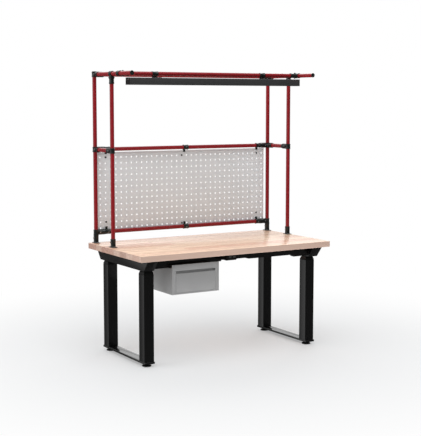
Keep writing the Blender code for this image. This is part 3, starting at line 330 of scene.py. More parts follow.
def group(name, kind, inputs, outputs):
    """A node group with named sockets; returns it with its two ends."""
    tree = bpy.data.node_groups.new(name, kind)
    for label, socket_kind in outputs:
        tree.interface.new_socket(label, in_out="OUTPUT", socket_type=socket_kind)
    for label, socket_kind, value in inputs:
        socket = tree.interface.new_socket(label, in_out="INPUT", socket_type=socket_kind)
        if value is not None:
            socket.default_value = value
    return tree, tree.nodes.new("NodeGroupInput").outputs, tree.nodes.new("NodeGroupOutput")


SPECK_SCALE_SHARE = 0.4
SPECK_REACH = 0.25


def coat_group():
    """Grain of a painted or moulded surface, and where hands and cleaning have dulled it."""
    tree, ins, outs = group(
        "Surface grain", "ShaderNodeTree",
        [("Vector", VECTOR, None), ("Grain Scale", VALUE, 900.0), ("Cloud Scale", VALUE, 6.0)],
        [("Height", VALUE), ("Clouds", VALUE), ("Specks", VALUE)])
    speck = out(tree, "ShaderNodeTexVoronoi", {
        "Vector": ins["Vector"],
        "Scale": maths(tree, "MULTIPLY", ins["Grain Scale"], SPECK_SCALE_SHARE)})
    fill(tree, outs.inputs, {
        "Height": noise(tree, ins["Vector"], ins["Grain Scale"], 3.0, 0.6),
        "Clouds": noise(tree, ins["Vector"], ins["Cloud Scale"], 5.0, 0.55, 0.4),
        "Specks": remapped(tree, speck, 0.0, SPECK_REACH, 1.0, 0.0)})
    return tree


# Beech: how tightly the grain and the pores lie along X, Y and Z, how far each stave's
# grain is moved, and the width of the glue lines beside and across the staves
GRAIN_STRETCH = (2.2, 32.0, 60.0)
PORE_STRETCH = (90.0, 900.0, 900.0)
GRAIN_MOVE = 40.0
ROW_MOVE = 9.0
SIDE_LINE = 0.0005
END_LINE = 0.0007


def stave_group():
    """Glued staves along X: a tint for each, its grain, and the joints between them."""
    tree, ins, outs = group(
        "Glued staves", "ShaderNodeTree",
        [("Vector", VECTOR, None), ("Stave Width", VALUE, 0.092), ("Stave Length", VALUE, 1.1)],
        [("Tint", VALUE), ("Grain", VALUE), ("Pores", VALUE), ("Joint", VALUE)])
    parts = put(tree, "ShaderNodeSeparateXYZ", {0: ins["Vector"]}).outputs
    across = maths(tree, "DIVIDE", parts["Y"], ins["Stave Width"])
    row = maths(tree, "FLOOR", across)
    row_chance = out(tree, "ShaderNodeTexWhiteNoise", {"W": row}, noise_dimensions="1D")
    along = maths(tree, "ADD", maths(tree, "DIVIDE", parts["X"], ins["Stave Length"]),
                  maths(tree, "MULTIPLY", row_chance, ROW_MOVE))
    place = out(tree, "ShaderNodeCombineXYZ", {0: row, 1: maths(tree, "FLOOR", along)})
    chance = out(tree, "ShaderNodeTexWhiteNoise", {"Vector": place}, noise_dimensions="2D")
    slide = maths(tree, "MULTIPLY", chance, GRAIN_MOVE)
    move = out(tree, "ShaderNodeCombineXYZ", {0: slide, 1: slide})
    grain_at = vectors(tree, "MULTIPLY_ADD", "Vector", ins["Vector"], GRAIN_STRETCH, move)
    pores_at = vectors(tree, "MULTIPLY", "Vector", ins["Vector"], PORE_STRETCH)
    lines = []
    for value, size, line in ((across, ins["Stave Width"], SIDE_LINE),
                              (along, ins["Stave Length"], END_LINE)):
        reach = maths(tree, "ABSOLUTE",
                      maths(tree, "SUBTRACT", maths(tree, "FRACT", value), 0.5))
        limit = maths(tree, "SUBTRACT", 0.5, maths(tree, "DIVIDE", line, size))
        lines.append(maths(tree, "GREATER_THAN", reach, limit))
    fill(tree, outs.inputs, {
        "Tint": chance, "Grain": noise(tree, grain_at, 1.0, 6.0, 0.6, 0.6),
        "Pores": noise(tree, pores_at, 1.0, 2.0), "Joint": maths(tree, "MAXIMUM", *lines)})
    return tree


def blank_material(name):
    """A material with its tree, its shader's inputs and its texture coordinates."""
    surface = bpy.data.materials.new(name)
    surface.use_nodes = True
    tree = surface.node_tree
    where = tree.nodes.new("ShaderNodeTexCoord").outputs
    return surface, tree, tree.nodes["Principled BSDF"].inputs, where


COAT_BUMP = 0.25
GLOSS_SPREAD = 0.2
SPECK_SHARE = 0.8
SPECK_GAIN = 1.5
SPECK_LIFT = 0.002


def coated(name, colour, roughness, grain, metallic=0.0, clouds=6.0, tone=0.12, specular=0.5):
    """A painted, plated or moulded finish with grain, clouds of dulled gloss and specks."""
    surface, tree, shader, where = blank_material(name)
    shared = bpy.data.node_groups.get("Surface grain") or coat_group()
    marks = put(tree, "ShaderNodeGroup", {"Vector": where["Object"], "Cloud Scale": clouds},
                node_tree=shared).outputs
    dark = [channel * (1 - tone) for channel in colour]
    light = [channel * (1 + tone) for channel in colour]
    speck = [min(1, channel * SPECK_GAIN + SPECK_LIFT) for channel in colour]
    paint = blended(tree, marks["Clouds"], (*dark, 1), (*light, 1))
    paint = blended(tree, maths(tree, "MULTIPLY", marks["Specks"], tone * SPECK_SHARE), paint,
                    (*speck, 1))
    bump = out(tree, "ShaderNodeBump", {
        "Height": marks["Height"], "Strength": COAT_BUMP, "Distance": grain})
    rough = remapped(tree, marks["Clouds"], low=roughness * (1 - GLOSS_SPREAD),
                     high=min(1, roughness * (1 + GLOSS_SPREAD)))
    fill(tree, shader, {"Base Color": paint, "Roughness": rough, "Normal": bump,
                        "Metallic": metallic, "Specular IOR Level": specular})
    return surface


# Beech: what its upright cut edges keep of the colour, as painted shade for the weaker light on
# them than on the top, and how much of the pores' and the glue lines' darker tones shows
UPRIGHT_PAINTED_SHADE = (0.64, 0.645, 0.72)
TINT_POWER = 1.6
PORE_SHARE = 0.22
PORE_TONE = 0.6
GLUE_SHARE = 0.35
GLUE_TONE = 0.55
GLUE_DEPTH = 0.8
# Where pores and the painted shade on upright faces begin and are full, and what the grain does
PORE_SPAN = (0.6, 0.75)
PAINTED_SHADE_SPAN = (0.5, 0.9)
GRAIN_TONES = {"low": 0.88, "high": 1.08}
GRAIN_GLOSS = {"low": 0.2, "high": 0.34}
GRAIN_BUMP = {"Strength": 0.3, "Distance": 0.0003}


def lacquered_staves(name, pale, deep):
    """Clear-lacquered beech glued up from staves, with painted shade on its upright faces."""
    surface, tree, shader, where = blank_material(name)
    staves = put(tree, "ShaderNodeGroup", {"Vector": where["Object"]},
                 node_tree=stave_group()).outputs
    paint = blended(tree, maths(tree, "POWER", staves["Tint"], TINT_POWER), (*pale, 1),
                    (*deep, 1))
    grain = remapped(tree, staves["Grain"], **GRAIN_TONES)
    tones = out(tree, "ShaderNodeCombineColor", {0: grain, 1: grain, 2: grain})
    paint = blended(tree, 1.0, paint, tones, "MULTIPLY")
    for mask, share, tone in (
        (remapped(tree, staves["Pores"], *PORE_SPAN), PORE_SHARE, PORE_TONE),
        (staves["Joint"], GLUE_SHARE, GLUE_TONE),
    ):
        paint = blended(tree, maths(tree, "MULTIPLY", mask, share), paint,
                        (*[channel * tone for channel in deep], 1))
    # Painted shade: upright faces, the worktop's edges among them, are darkened because they get
    # less light than the top
    up = put(tree, "ShaderNodeSeparateXYZ", {0: where["Normal"]}).outputs["Z"]
    upright = remapped(tree, up, *PAINTED_SHADE_SPAN, 1.0, 0.0)
    paint = blended(tree, upright, paint, (*UPRIGHT_PAINTED_SHADE, 1), "MULTIPLY")
    height = maths(tree, "SUBTRACT", staves["Grain"],
                   maths(tree, "MULTIPLY", staves["Joint"], GLUE_DEPTH))
    bump = out(tree, "ShaderNodeBump", {"Height": height, **GRAIN_BUMP})
    rough = remapped(tree, staves["Grain"], **GRAIN_GLOSS)
    fill(tree, shader, {"Base Color": paint, "Roughness": rough, "Normal": bump,
                        "Specular IOR Level": 0.22, "Coat Weight": 0.08,
                        "Coat Roughness": 0.12})
    return surface


# For each slot: the finish's name, its colour setting, roughness, depth of grain, the rest
COATS = {
    "black_frame": ("Black powder coat", "frame", 0.22, 0.0001, {}),
    "black_plastic": ("Black moulded plastic", "plastic", 0.45, 0.0003, {"specular": 0.25}),
    "button_plastic": ("Button plastic", "button", 0.38, 0.0001, {"specular": 0.4}),
    "joint_coat": ("Black joint coat", "joint", 0.3, 0.0001, {"clouds": 40.0, "tone": 0.25}),
    "red_pipe": ("Red pipe coat", "pipe", 0.24, 0.00003, {"clouds": 9.0, "tone": 0.05}),
    "drawer_paint": ("Grey drawer paint", "drawer", 0.4, 0.0002, {}),
    "panel_paint": ("Light panel paint", "panel", 0.42, 0.0002, {"tone": 0.05}),
    "light_coat": ("Dark housing coat", "light", 0.38, 0.0001, {"metallic": 0.3}),
    "zinc_steel": ("Zinc-plated steel", "zinc", 0.3, 0.0001, {"metallic": 1.0, "clouds": 60.0}),
    "opal_cover": ("Opal cover", "opal", 0.45, 0.0001, {"tone": 0.03}),
    "board_white": ("White board", "opal", 0.5, 0.0001, {"tone": 0.05}),
}
FINISHES = {}


def surface_of(slot):
    """The finish of a material slot, made once from the panel's colours."""
    if slot not in FINISHES:
        colours = bpy.context.scene.bench_colours
        if slot == "beech":
            FINISHES[slot] = lacquered_staves("Lacquered beech", colours.beech_pale,
                                              colours.beech_deep)
        else:
            name, colour_name, roughness, grain, more = COATS[slot]
            FINISHES[slot] = coated(name, getattr(colours, colour_name), roughness, grain,
                                    **more)
    return FINISHES[slot]


def repaint(node, slot):
    """Give a solid that keeps its shape its finish."""
    mesh = frame["nodes"][node].data
    surface = surface_of(slot)
    if mesh.materials:
        for index in range(len(mesh.materials)):
            mesh.materials[index] = surface
    else:
        mesh.materials.append(surface)


# Geometry Nodes

def geometry_group(name, inputs):
    """A geometry tree with named inputs, the geometry and the finish among them."""
    return group(name, "GeometryNodeTree",
                 [("Geometry", GEOMETRY, None), *inputs, ("Material", MATERIAL, None)],
                 [("Geometry", GEOMETRY)])


def close_tree(tree, geometry, ins, outs):
    """End a tree with real geometry that has its finish."""
    real = out(tree, "GeometryNodeRealizeInstances", {0: geometry})
    fill(tree, outs.inputs, {0: out(tree, "GeometryNodeSetMaterial", {
        "Geometry": real, "Material": ins["Material"]})})
    return tree


def pipe_tree():
    """A round bar along the edges of a mesh."""
    tree, ins, outs = geometry_group("Round pipe", [
        ("Diameter", VALUE, 0.028), ("Sides", COUNT, ROUND_SIDES)])
    line = out(tree, "GeometryNodeMeshToCurve", {0: ins["Geometry"]})
    ring = out(tree, "GeometryNodeCurvePrimitiveCircle", {
        "Resolution": ins["Sides"], "Radius": maths(tree, "MULTIPLY", ins["Diameter"], 0.5)})
    bar = out(tree, "GeometryNodeCurveToMesh", {
        "Curve": line, "Profile Curve": ring, "Fill Caps": True})
    return close_tree(tree, bar, ins, outs)


RECESS_DEPTH_SHARE = 0.6


def screw_tree():
    """A screw head on a washer at each point, aimed along the point's direction."""
    tree, ins, outs = geometry_group("Screw heads", [
        ("Head Diameter", VALUE, 0.01), ("Head Height", VALUE, 0.004), ("Head Sides", COUNT, 6),
        ("Recess Share", VALUE, 0.5), ("Washer Diameter", VALUE, 0.013),
        ("Washer Height", VALUE, 0.0012)])
    washer, head = (put(tree, "GeometryNodeMeshCylinder", {
        "Vertices": sides, "Depth": ins[f"{part} Height"],
        "Radius": maths(tree, "MULTIPLY", ins[f"{part} Diameter"], 0.5)}).outputs
        for part, sides in (("Washer", SMALL_SIDES), ("Head", ins["Head Sides"])))
    rim = put(tree, "GeometryNodeExtrudeMesh", {
        "Mesh": head["Mesh"], "Selection": head["Top"], "Offset Scale": 0.0},
        mode="FACES").outputs
    inner = out(tree, "GeometryNodeScaleElements", {
        "Geometry": rim["Mesh"], "Selection": rim["Top"], "Scale": ins["Recess Share"]})
    depth = maths(tree, "MULTIPLY", ins["Head Height"], -RECESS_DEPTH_SHARE)
    recess = out(tree, "GeometryNodeExtrudeMesh", {
        "Mesh": inner, "Selection": rim["Top"], "Offset Scale": depth}, mode="FACES")
    lift = maths(tree, "MULTIPLY",
                 maths(tree, "ADD", ins["Washer Height"], ins["Head Height"]), 0.5)
    raised = out(tree, "GeometryNodeTransform", {
        "Geometry": recess, "Translation": out(tree, "ShaderNodeCombineXYZ", {2: lift})})
    whole = put(tree, "GeometryNodeJoinGeometry", {0: raised})
    fill(tree, whole.inputs, {0: washer["Mesh"]})
    aim = out(tree, "GeometryNodeInputNamedAttribute", {"Name": "aim"},
              data_type="FLOAT_VECTOR")
    heads = out(tree, "GeometryNodeInstanceOnPoints", {
        "Points": out(tree, "GeometryNodeMeshToPoints", {0: ins["Geometry"]}),
        "Instance": whole.outputs[0],
        "Rotation": out(tree, "FunctionNodeAlignRotationToVector", {"Vector": aim}, axis="Z")})
    return close_tree(tree, heads, ins, outs)


def grown(name, base, tree, values):
    """The plain mesh that a tree makes from a base mesh."""
    holder = bpy.data.objects.new(name, base)
    bpy.context.scene.collection.objects.link(holder)
    modifier = holder.modifiers.new("Nodes", "NODES")
    modifier.node_group = tree
    for item in tree.interface.items_tree:
        if item.in_out == "INPUT" and item.name in values:
            modifier[item.identifier] = values[item.name]
    view = bpy.context.evaluated_depsgraph_get()
    mesh = bpy.data.meshes.new_from_object(holder.evaluated_get(view))
    bpy.data.objects.remove(holder, do_unlink=True)
    return mesh


# For each kind of screw: slot, width setting, then the head's width, height, sides and
# recess, and the washer's width, as shares of what they follow, and the washer's height
SCREW_KINDS = {
    "joint_bolts": ("zinc_steel", "bolt_head", 1.0, 0.28, 6, 0.45, 1.25, 0.0012),
    "panel_bolts": ("joint_coat", "bolt_head", 0.85, 0.35, SMALL_SIDES, 0.5, 1.4, 0.001),
    "small_screws": ("zinc_steel", "screw_head", 1.0, 0.35, SMALL_SIDES, 0.5, 1.0, 0.0004),
}
SCREWS = {kind: [] for kind in SCREW_KINDS}


def note_screw(kind, point, direction):
    """Remember where a screw head goes."""
    SCREWS[kind].append((Vector(point), Vector(direction).normalized()))


# Pieces

def make_worktop(sizes):
    """The worktop with its rounded edges."""
    softened("worktop", "lift", "beech", sizes.top_edge, 3)


JOINT_LINE = 0.0006
COLLAR_EDGE_SHARES = (0.08, 0.16)
COLLAR_RIM_SHARE = 0.06
INNER_COLUMN_EASE = 0.0015


def make_columns(sizes):
    """Outer columns with their collars, inner columns and screw drives."""
    thickness = 2 * sizes.column_wall
    for corner in CORNERS:
        node = f"outer_column_{corner}"
        low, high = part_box(node)
        size = high - low
        centre = middle(node)
        place = Matrix.Translation((centre.x, centre.y, 0))
        outline = rounded_outline(size.x, size.y, sizes.column_corner)
        wall = rounded_outline(size.x - thickness, size.y - thickness, sizes.column_corner / 2)
        top = high.z - sizes.collar_height
        shape = bmesh.new()
        ring_wall(shape, [(outline, low.z), (outline, top), (wall, top), (wall, low.z)], place)
        finish_piece(f"column_{corner}", shape, "base", "black_frame", [node])
        make_collar(corner, sizes, place, size, top, high.z)
        softened(f"inner_column_{corner}", "lift", "black_frame", INNER_COLUMN_EASE, 3)
        repaint(f"lead_screw_{corner}", "zinc_steel")


def make_collar(corner, sizes, place, size, low, high):
    """The tapered plastic collar on a column's mouth."""
    start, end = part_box(f"inner_column_{corner}")
    wall = 2 * sizes.collar_lip
    mouth_x = end.x - start.x - 2 * GLIDE_RING + wall
    mouth_y = end.y - start.y - 2 * GLIDE_RING + wall
    round_mouth = sizes.column_corner * 2
    body = rounded_outline(size.x, size.y, sizes.column_corner)
    step = rounded_outline(size.x - wall, size.y - wall, sizes.column_corner)
    mouth = rounded_outline(mouth_x, mouth_y, round_mouth)
    bore = rounded_outline(mouth_x - wall, mouth_y - wall, round_mouth)
    halfway = [((a + c) / 2, (b + d) / 2) for (a, b), (c, d) in zip(mouth, bore)]
    seat = low + JOINT_LINE
    rise = high - seat
    shape = bmesh.new()
    rings = [(step, seat), *((body, seat + rise * share) for share in COLLAR_EDGE_SHARES),
             (mouth, high - rise * COLLAR_RIM_SHARE), (halfway, high), (bore, high),
             (bore, seat)]
    ring_wall(shape, rings, place)
    finish_piece(f"collar_{corner}", shape, "base", "black_plastic")


PLATE_EASE = 0.0008
# A foot: the pad's rings as insets and heights, and its neck's as shares of the pad's radius
PAD_RINGS = ((0.001, 0), (0, 0.001), (0, 0.006), (0.002, 0.008))
NECK_STEPS = ((0.62, 0.0105), (0.5, 0.012))
NUT_SHARE = 0.48
NUT_GAP = 0.001
STEM_RADIUS = 0.005


def make_base(sizes):
    """Base plates and levelling feet."""
    for side, _ in SIDES:
        softened(f"base_plate_{side}", "base", "black_frame", PLATE_EASE)
    for corner in CORNERS:
        name = f"foot_{corner}"
        low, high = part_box(name)
        centre = middle(name)
        radius = (high.x - low.x) / 2
        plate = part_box(f"base_plate_{corner.split('_')[1]}")[0].z
        rings = [*profile(radius, 0, PAD_RINGS, 0, ()),
                 *((radius * share, height) for share, height in NECK_STEPS),
                 (radius * NUT_SHARE, plate - NUT_GAP), (STEM_RADIUS, plate - NUT_GAP / 2),
                 (STEM_RADIUS, high.z)]
        shape = bmesh.new()
        lathe(shape, rings, Matrix.Translation((centre.x, centre.y, 0)))
        finish_piece(f"{name}_turned", shape, name, "black_plastic", [name])


RAIL_EASE = 0.002
BEAM_EASE = 0.0007
BRACKET_SCREW_SHARES = (0.2, 0.8)


def make_frame(sizes):
    """Side rails and telescopic beams."""
    for side, sign in SIDES:
        rail = f"side_rail_{side}"
        softened(rail, "lift", "black_frame", RAIL_EASE, 3)
        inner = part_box("front_beam")[1].x * sign
        for beam in BEAMS:
            for share in BRACKET_SCREW_SHARES:
                spot = (inner - sign * BRACKET_REACH * share, middle(beam).y,
                        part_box(rail)[0].z + BRACKET_RISE)
                note_screw("small_screws", spot, -UP)
    for beam in BEAMS:
        softened(beam, "lift", "black_frame", BEAM_EASE)


BOX_EASE = 0.0008
HANDSET_EASE = 0.0012
LID_SCREW_INSET = 0.012
LID_SCREW_FRONT = 0.02
ARROW_SPREAD = 0.6
ARROW_TIP = 0.9
ARROW_SINK = 0.0002
ARROW_DEPTH = 0.0005


def make_controller(sizes):
    """The controller, the handset and its buttons."""
    softened("control_box", "lift", "black_plastic", BOX_EASE)
    softened("handset", "lift", "black_plastic", HANDSET_EASE, 3)
    low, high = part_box("control_box")
    for x in (low.x + LID_SCREW_INSET, high.x - LID_SCREW_INSET):
        for y in (low.y + LID_SCREW_FRONT, high.y - LID_SCREW_INSET):
            note_screw("small_screws", (x, y, low.z), -UP)
    reach = sizes.arrow_size
    for name, sign in (("button_down", -1), ("button_up", 1)):
        softened(name, name, "button_plastic", BOX_EASE, 3)
        centre = middle(name)
        base = -sign * reach * ARROW_SPREAD
        outline = [(-reach, base), (reach, base), (0, sign * reach * ARROW_TIP)]
        face = (centre.x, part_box(name)[0].y + ARROW_SINK, centre.z)
        shape = bmesh.new()
        prism(shape, outline, 0, ARROW_DEPTH, at(face, -BACK, ALONG))
        finish_piece(f"{name}_arrow", shape, name, "light_coat")


CASE_EASE = 0.0006
TRAY_EASE = 0.0004
# The liner of the finger trough: a wedge across it and a plate at each end
LINER_LIFT = 0.0002
LINER_GAP = 0.0005
LINER_TOP = 0.0012
LINER_SIDE = 0.0008
END_PLATE = 0.001
END_GAP = 0.0003
END_RISE = 0.0004
END_BACK = 0.0001
END_TOP = 0.0007


def make_drawer(sizes):
    """The drawer unit."""
    for node, body, ease in (("drawer_housing", "lift", CASE_EASE),
                             ("drawer_box", "drawer", TRAY_EASE),
                             ("drawer_front", "drawer", CASE_EASE)):
        softened(node, body, "drawer_paint", ease)
    low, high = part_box("drawer_front")
    trough = high.z - GRIP_HEIGHT - GRIP_TROUGH
    front = low.y + GRIP_LIP
    back = high.y - DRAWER_SHEET
    top = high.z - LINER_GAP
    shape = bmesh.new()
    outline = [(front + LINER_GAP, trough + LINER_LIFT), (back - LINER_LIFT, trough + LINER_LIFT),
               (back - LINER_LIFT, top), (back - LINER_TOP, top)]
    prism(shape, outline, low.x + LINER_SIDE, high.x - LINER_SIDE, CROSSWISE)
    for x in (low.x + END_GAP, high.x - END_GAP - END_PLATE):
        box(shape, (x, front + END_GAP, trough + END_RISE),
            (x + END_PLATE, back - END_BACK, high.z - END_TOP))
    finish_piece("drawer_grip", shape, "drawer", "drawer_paint")


CAP_RISE = 0.003
# A cap's profile: past the pipe's radius, and past the pipe's end
CAP_PROFILE = ((-0.002, -0.006), (-0.002, 0), (0.001, 0.0001), (0.001, 0.0018),
               (0.0005, 0.0026), (-0.001, CAP_RISE))


def pipe(node, start, end, diameter):
    """One round pipe that stands for its solid."""
    line = bpy.data.meshes.new("line")
    line.from_pydata([start, end], [(0, 1)], [])
    tree = bpy.data.node_groups.get("Round pipe") or pipe_tree()
    mesh = grown(f"pipe_{node}", line, tree, {
        "Diameter": diameter, "Material": surface_of("red_pipe")})
    as_piece(f"pipe_{node}", mesh, "lift", "red_pipe", [node])


def cap(node, point, direction, diameter):
    """A push-in cap on a pipe's end."""
    shape = bmesh.new()
    lathe(shape, [(diameter / 2 + reach, z) for reach, z in CAP_PROFILE], at(point, direction))
    finish_piece(f"cap_{node}", shape, "lift", "joint_coat")


def make_pipes(sizes):
    """Uprights, rails and bars of the rack."""
    diameter = sizes.pipe_diameter
    for side, x in (("left", LEFT_X), ("right", RIGHT_X)):
        for depth, y in (("front", FRONT_Y), ("rear", REAR_Y)):
            node = f"upright_{depth}_{side}"
            low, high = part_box(node)
            top = high.z - (CAP_RISE if depth == "rear" else 0)
            pipe(node, (x, y, low.z), (x, y, top), diameter)
            if depth == "rear":
                cap(node, (x, y, top), UP, diameter)
        for level, z in (("mid", MID_Z), ("top", TOP_Z)):
            node = f"{level}_side_rail_{side}"
            low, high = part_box(node)
            front = low.y + (CAP_RISE if level == "top" else 0)
            pipe(node, (x, front, z), (x, high.y, z), diameter)
            if level == "top":
                cap(node, (x, front, z), -BACK, diameter)
    start = LEFT_X + BRANCH_START
    end = RIGHT_X - BRANCH_START
    for node, y, z in (("top_bar_front", BAR_Y, TOP_Z), ("top_bar_rear", REAR_Y, TOP_Z),
                       ("panel_rail_upper", REAR_Y, MID_Z),
                       ("panel_rail_lower", REAR_Y, LOWER_Z)):
        pipe(node, (start, y, z), (end, y, z), diameter)


# Raised rims of the rings, as insets and distances from the end
CLAMP_RIM = ((0.0012, 0), (0, 0.0012), (0, 0.005), (0.0012, 0.0075))
CLIP_RIM = ((0.001, 0), (0, 0.001), (0, 0.006), (0.0012, 0.008))
STRAP_RIM = ((0.001, 0), (0, 0.001), (0, 0.007), (0.0014, 0.009))
# A clamp's sleeve, its pressed seams and the boss that its bolt goes through
SLEEVE_SINK = 0.006
SLEEVE_STEP = 0.0005
SLEEVE_ROOT = ((0.002, 0), (0.0012, 0.006))
SLEEVE_MOUTH = ((0.0012, 0.013), (0, 0.01), (0, 0.0012), (0.0012, 0))
SEAM_HALF = 0.0016
SEAM_SINK = 0.002
SEAM_RISE = 0.0009
SEAM_START = 0.004
SEAM_STOP = 0.003
BOSS_SHIFT = 0.008
BOSS_RADIUS = 0.0075
BOSS_RISE = 0.0005
BOSS_EASE = 0.0008
BOSS_BEND = BOSS_EASE * (1 - math.sqrt(0.5))
BOSS_END = ((BOSS_EASE, 0), (BOSS_BEND, BOSS_BEND), (0, BOSS_EASE))
BOLT_RISE = 0.001


def clamp(name, centre, ring_axis, branches, sizes, nodes=()):
    """A two-shell clamp joint: ring, sleeves, pressed seams and their bolts."""
    shape = bmesh.new()
    radius = sizes.joint_diameter / 2
    bore = sizes.pipe_diameter / 2 + FIT
    axis = Vector(ring_axis)
    banded_ring(shape, at(centre, axis), radius, bore, RING_LENGTH / 2, CLAMP_RIM)
    start = radius - SLEEVE_SINK
    sleeve = radius - SLEEVE_STEP
    outer = profile(sleeve, start, SLEEVE_ROOT, SLEEVE_REACH, SLEEVE_MOUTH)
    reach = sleeve + BOSS_RISE
    boss = profile(BOSS_RADIUS, -reach, BOSS_END, reach, reversed(BOSS_END))
    for branch in branches:
        branch = Vector(branch)
        along = at(centre, branch, axis)
        across = axis.cross(branch)
        web = centre + branch * (radius + BOSS_SHIFT)
        tube_wall(shape, outer, [(bore, start), (bore, SLEEVE_REACH)], along)
        for sign in (-1, 1):
            box(shape, (sign * (sleeve - SEAM_SINK), -SEAM_HALF, start + SEAM_START),
                (sign * (sleeve + SEAM_RISE), SEAM_HALF, SLEEVE_REACH - SEAM_STOP), along)
            note_screw("joint_bolts", web + across * sign * (sleeve + BOLT_RISE),
                       across * sign)
        lathe(shape, boss, at(web, across), SMALL_SIDES)
    finish_piece(name, shape, "lift", "joint_coat", nodes)


def make_joints(sizes):
    """All clamp joints of the rack."""
    for side, x, sign in (("left", LEFT_X, -1), ("right", RIGHT_X, 1)):
        inward = -ALONG * sign
        for level, y, z, axis, branch in (
            ("mid", FRONT_Y, MID_Z, UP, BACK),
            ("top", FRONT_Y, TOP_Z, BACK, -UP),
            ("bar", BAR_Y, TOP_Z, BACK, inward),
        ):
            clamp(f"tee_{level}_{side}", Vector((x, y, z)), axis, [branch], sizes,
                  [f"{level}_tee_{side}"])
        for level, z in (("mid", MID_Z), ("top", TOP_Z)):
            clamp(f"corner_{level}_{side}", Vector((x, REAR_Y, z)), UP, [inward, -BACK], sizes,
                  [f"{level}_corner_{side}"])
        clamp(f"tee_lower_{side}", Vector((x, REAR_Y, LOWER_Z)), UP, [inward], sizes)


FLANGE_CORNER = 0.008
FLANGE_SHEET = 0.003
FLANGE_EASE = 0.0006
NECK_RADIUS = 0.018
NECK_START = 0.0025
NECK_FOOT = ((-0.003, NECK_START), (-0.0006, 0.0055), (0.0006, 0.008))
NECK_MOUTH = ((0.0006, 0.011), (0, 0.009), (0, 0.001), (0.001, 0))
FLANGE_SCREW_SHIFT = 0.027
FLANGE_SCREW_RISE = 0.0033
SET_SCREW_RISE = 0.0004
SET_SCREW_SHARE = 0.62


def make_sockets(sizes):
    """The flanged sockets on the worktop."""
    bore = sizes.pipe_diameter / 2 + FIT
    for corner in CORNERS:
        node = f"socket_{corner}"
        low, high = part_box(node)
        top = high.z - low.z
        centre = middle(node)
        centre.z = low.z
        place = Matrix.Translation(centre)
        shape = bmesh.new()
        prism(shape, rounded_outline(high.x - low.x, high.y - low.y, FLANGE_CORNER), 0,
              FLANGE_SHEET, place)
        ease_edges(shape, FLANGE_EASE)
        outer = profile(NECK_RADIUS, 0, NECK_FOOT, top, NECK_MOUTH)
        tube_wall(shape, outer, [(bore, NECK_START), (bore, top)], place)
        finish_piece(f"{node}_turned", shape, "lift", "joint_coat", [node])
        for sign in (-1, 1):
            spot = centre + Vector((0, sign * FLANGE_SCREW_SHIFT, FLANGE_SCREW_RISE))
            note_screw("small_screws", spot, UP)
        spot = centre + Vector((-NECK_RADIUS - SET_SCREW_RISE, 0, top * SET_SCREW_SHARE))
        note_screw("joint_bolts", spot, -ALONG)


CLIP_SHEET = 0.003
CLIP_GAP = 0.0003
CLIP_LEDGE = 0.001
CLIP_ROOT = 0.004
BOLT_MARGIN = 0.01
BOLT_SINK = 0.0001
CLIP_BOLT_SINK = 0.0008


def make_clips(sizes):
    """The clips that hold the panel to its rails, and their bolts through its holes."""
    low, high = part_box("perforated_panel")
    first = high.z - TOP_HOLE_DROP
    last = low.z + BOTTOM_HOLE_RISE
    pitch = (first - last) / (HOLE_ROWS - 1)
    radius = sizes.joint_diameter / 2
    bore = sizes.pipe_diameter / 2 + FIT
    strap = CLIP_STRAP / 2
    face = PANEL_FACE - CLIP_GAP
    front = face - CLIP_SHEET
    arm = PANEL_FACE + PANEL_SHEET + CLIP_GAP
    rear = arm + CLIP_SHEET
    for level, z, towards, edge in (("upper", MID_Z, -1, high.z), ("lower", LOWER_Z, 1, low.z)):
        root = z + towards * CLIP_ROOT
        rim = edge - towards * CLIP_GAP
        for name, place in (("left", -1), ("middle", 0), ("right", 1)):
            x = RACK_X + place * SIDE_CLIP_SHIFT
            bolt_x = x if place else x - HOLE_PITCH / 2
            bolt_z = first if towards < 0 else last + (pitch if place else 0)
            shape = bmesh.new()
            banded_ring(shape, at((x, REAR_Y, z), ALONG), radius, bore, CLIP_LENGTH / 2,
                        CLIP_RIM)
            box(shape, (x - strap, front, root), (x + strap, face, z + towards * CLIP_REACH))
            box(shape, (x - strap, front + CLIP_LEDGE, rim - towards * CLIP_SHEET),
                (x + strap, rear, rim))
            box(shape, (min(x, bolt_x) - strap, arm, rim),
                (x + strap, rear, bolt_z + towards * BOLT_MARGIN))
            finish_piece(f"clip_{level}_{name}", shape, "lift", "joint_coat")
            note_screw("panel_bolts", (bolt_x, PANEL_FACE - BOLT_SINK, bolt_z), -BACK)
            note_screw("joint_bolts", (x, REAR_Y - radius + CLIP_BOLT_SINK,
                                       z - towards * CLIP_ROOT), -BACK)


def make_panel(sizes):
    """The perforated panel keeps its solid and gets its paint."""
    repaint("perforated_panel", "panel_paint")


PROFILE_EASE = 0.0035
PROFILE_BEND = 0.3                          # how far the eased corner's middle is cut
PROFILE_WALL = 0.0025
END_CAP = 0.003
END_CAP_EASE = 0.0006
END_SCREW_INSET = 0.01
END_SCREW_DROP = 0.012
END_SCREW_SINK = 0.0008
COVER_EASE = 0.0004


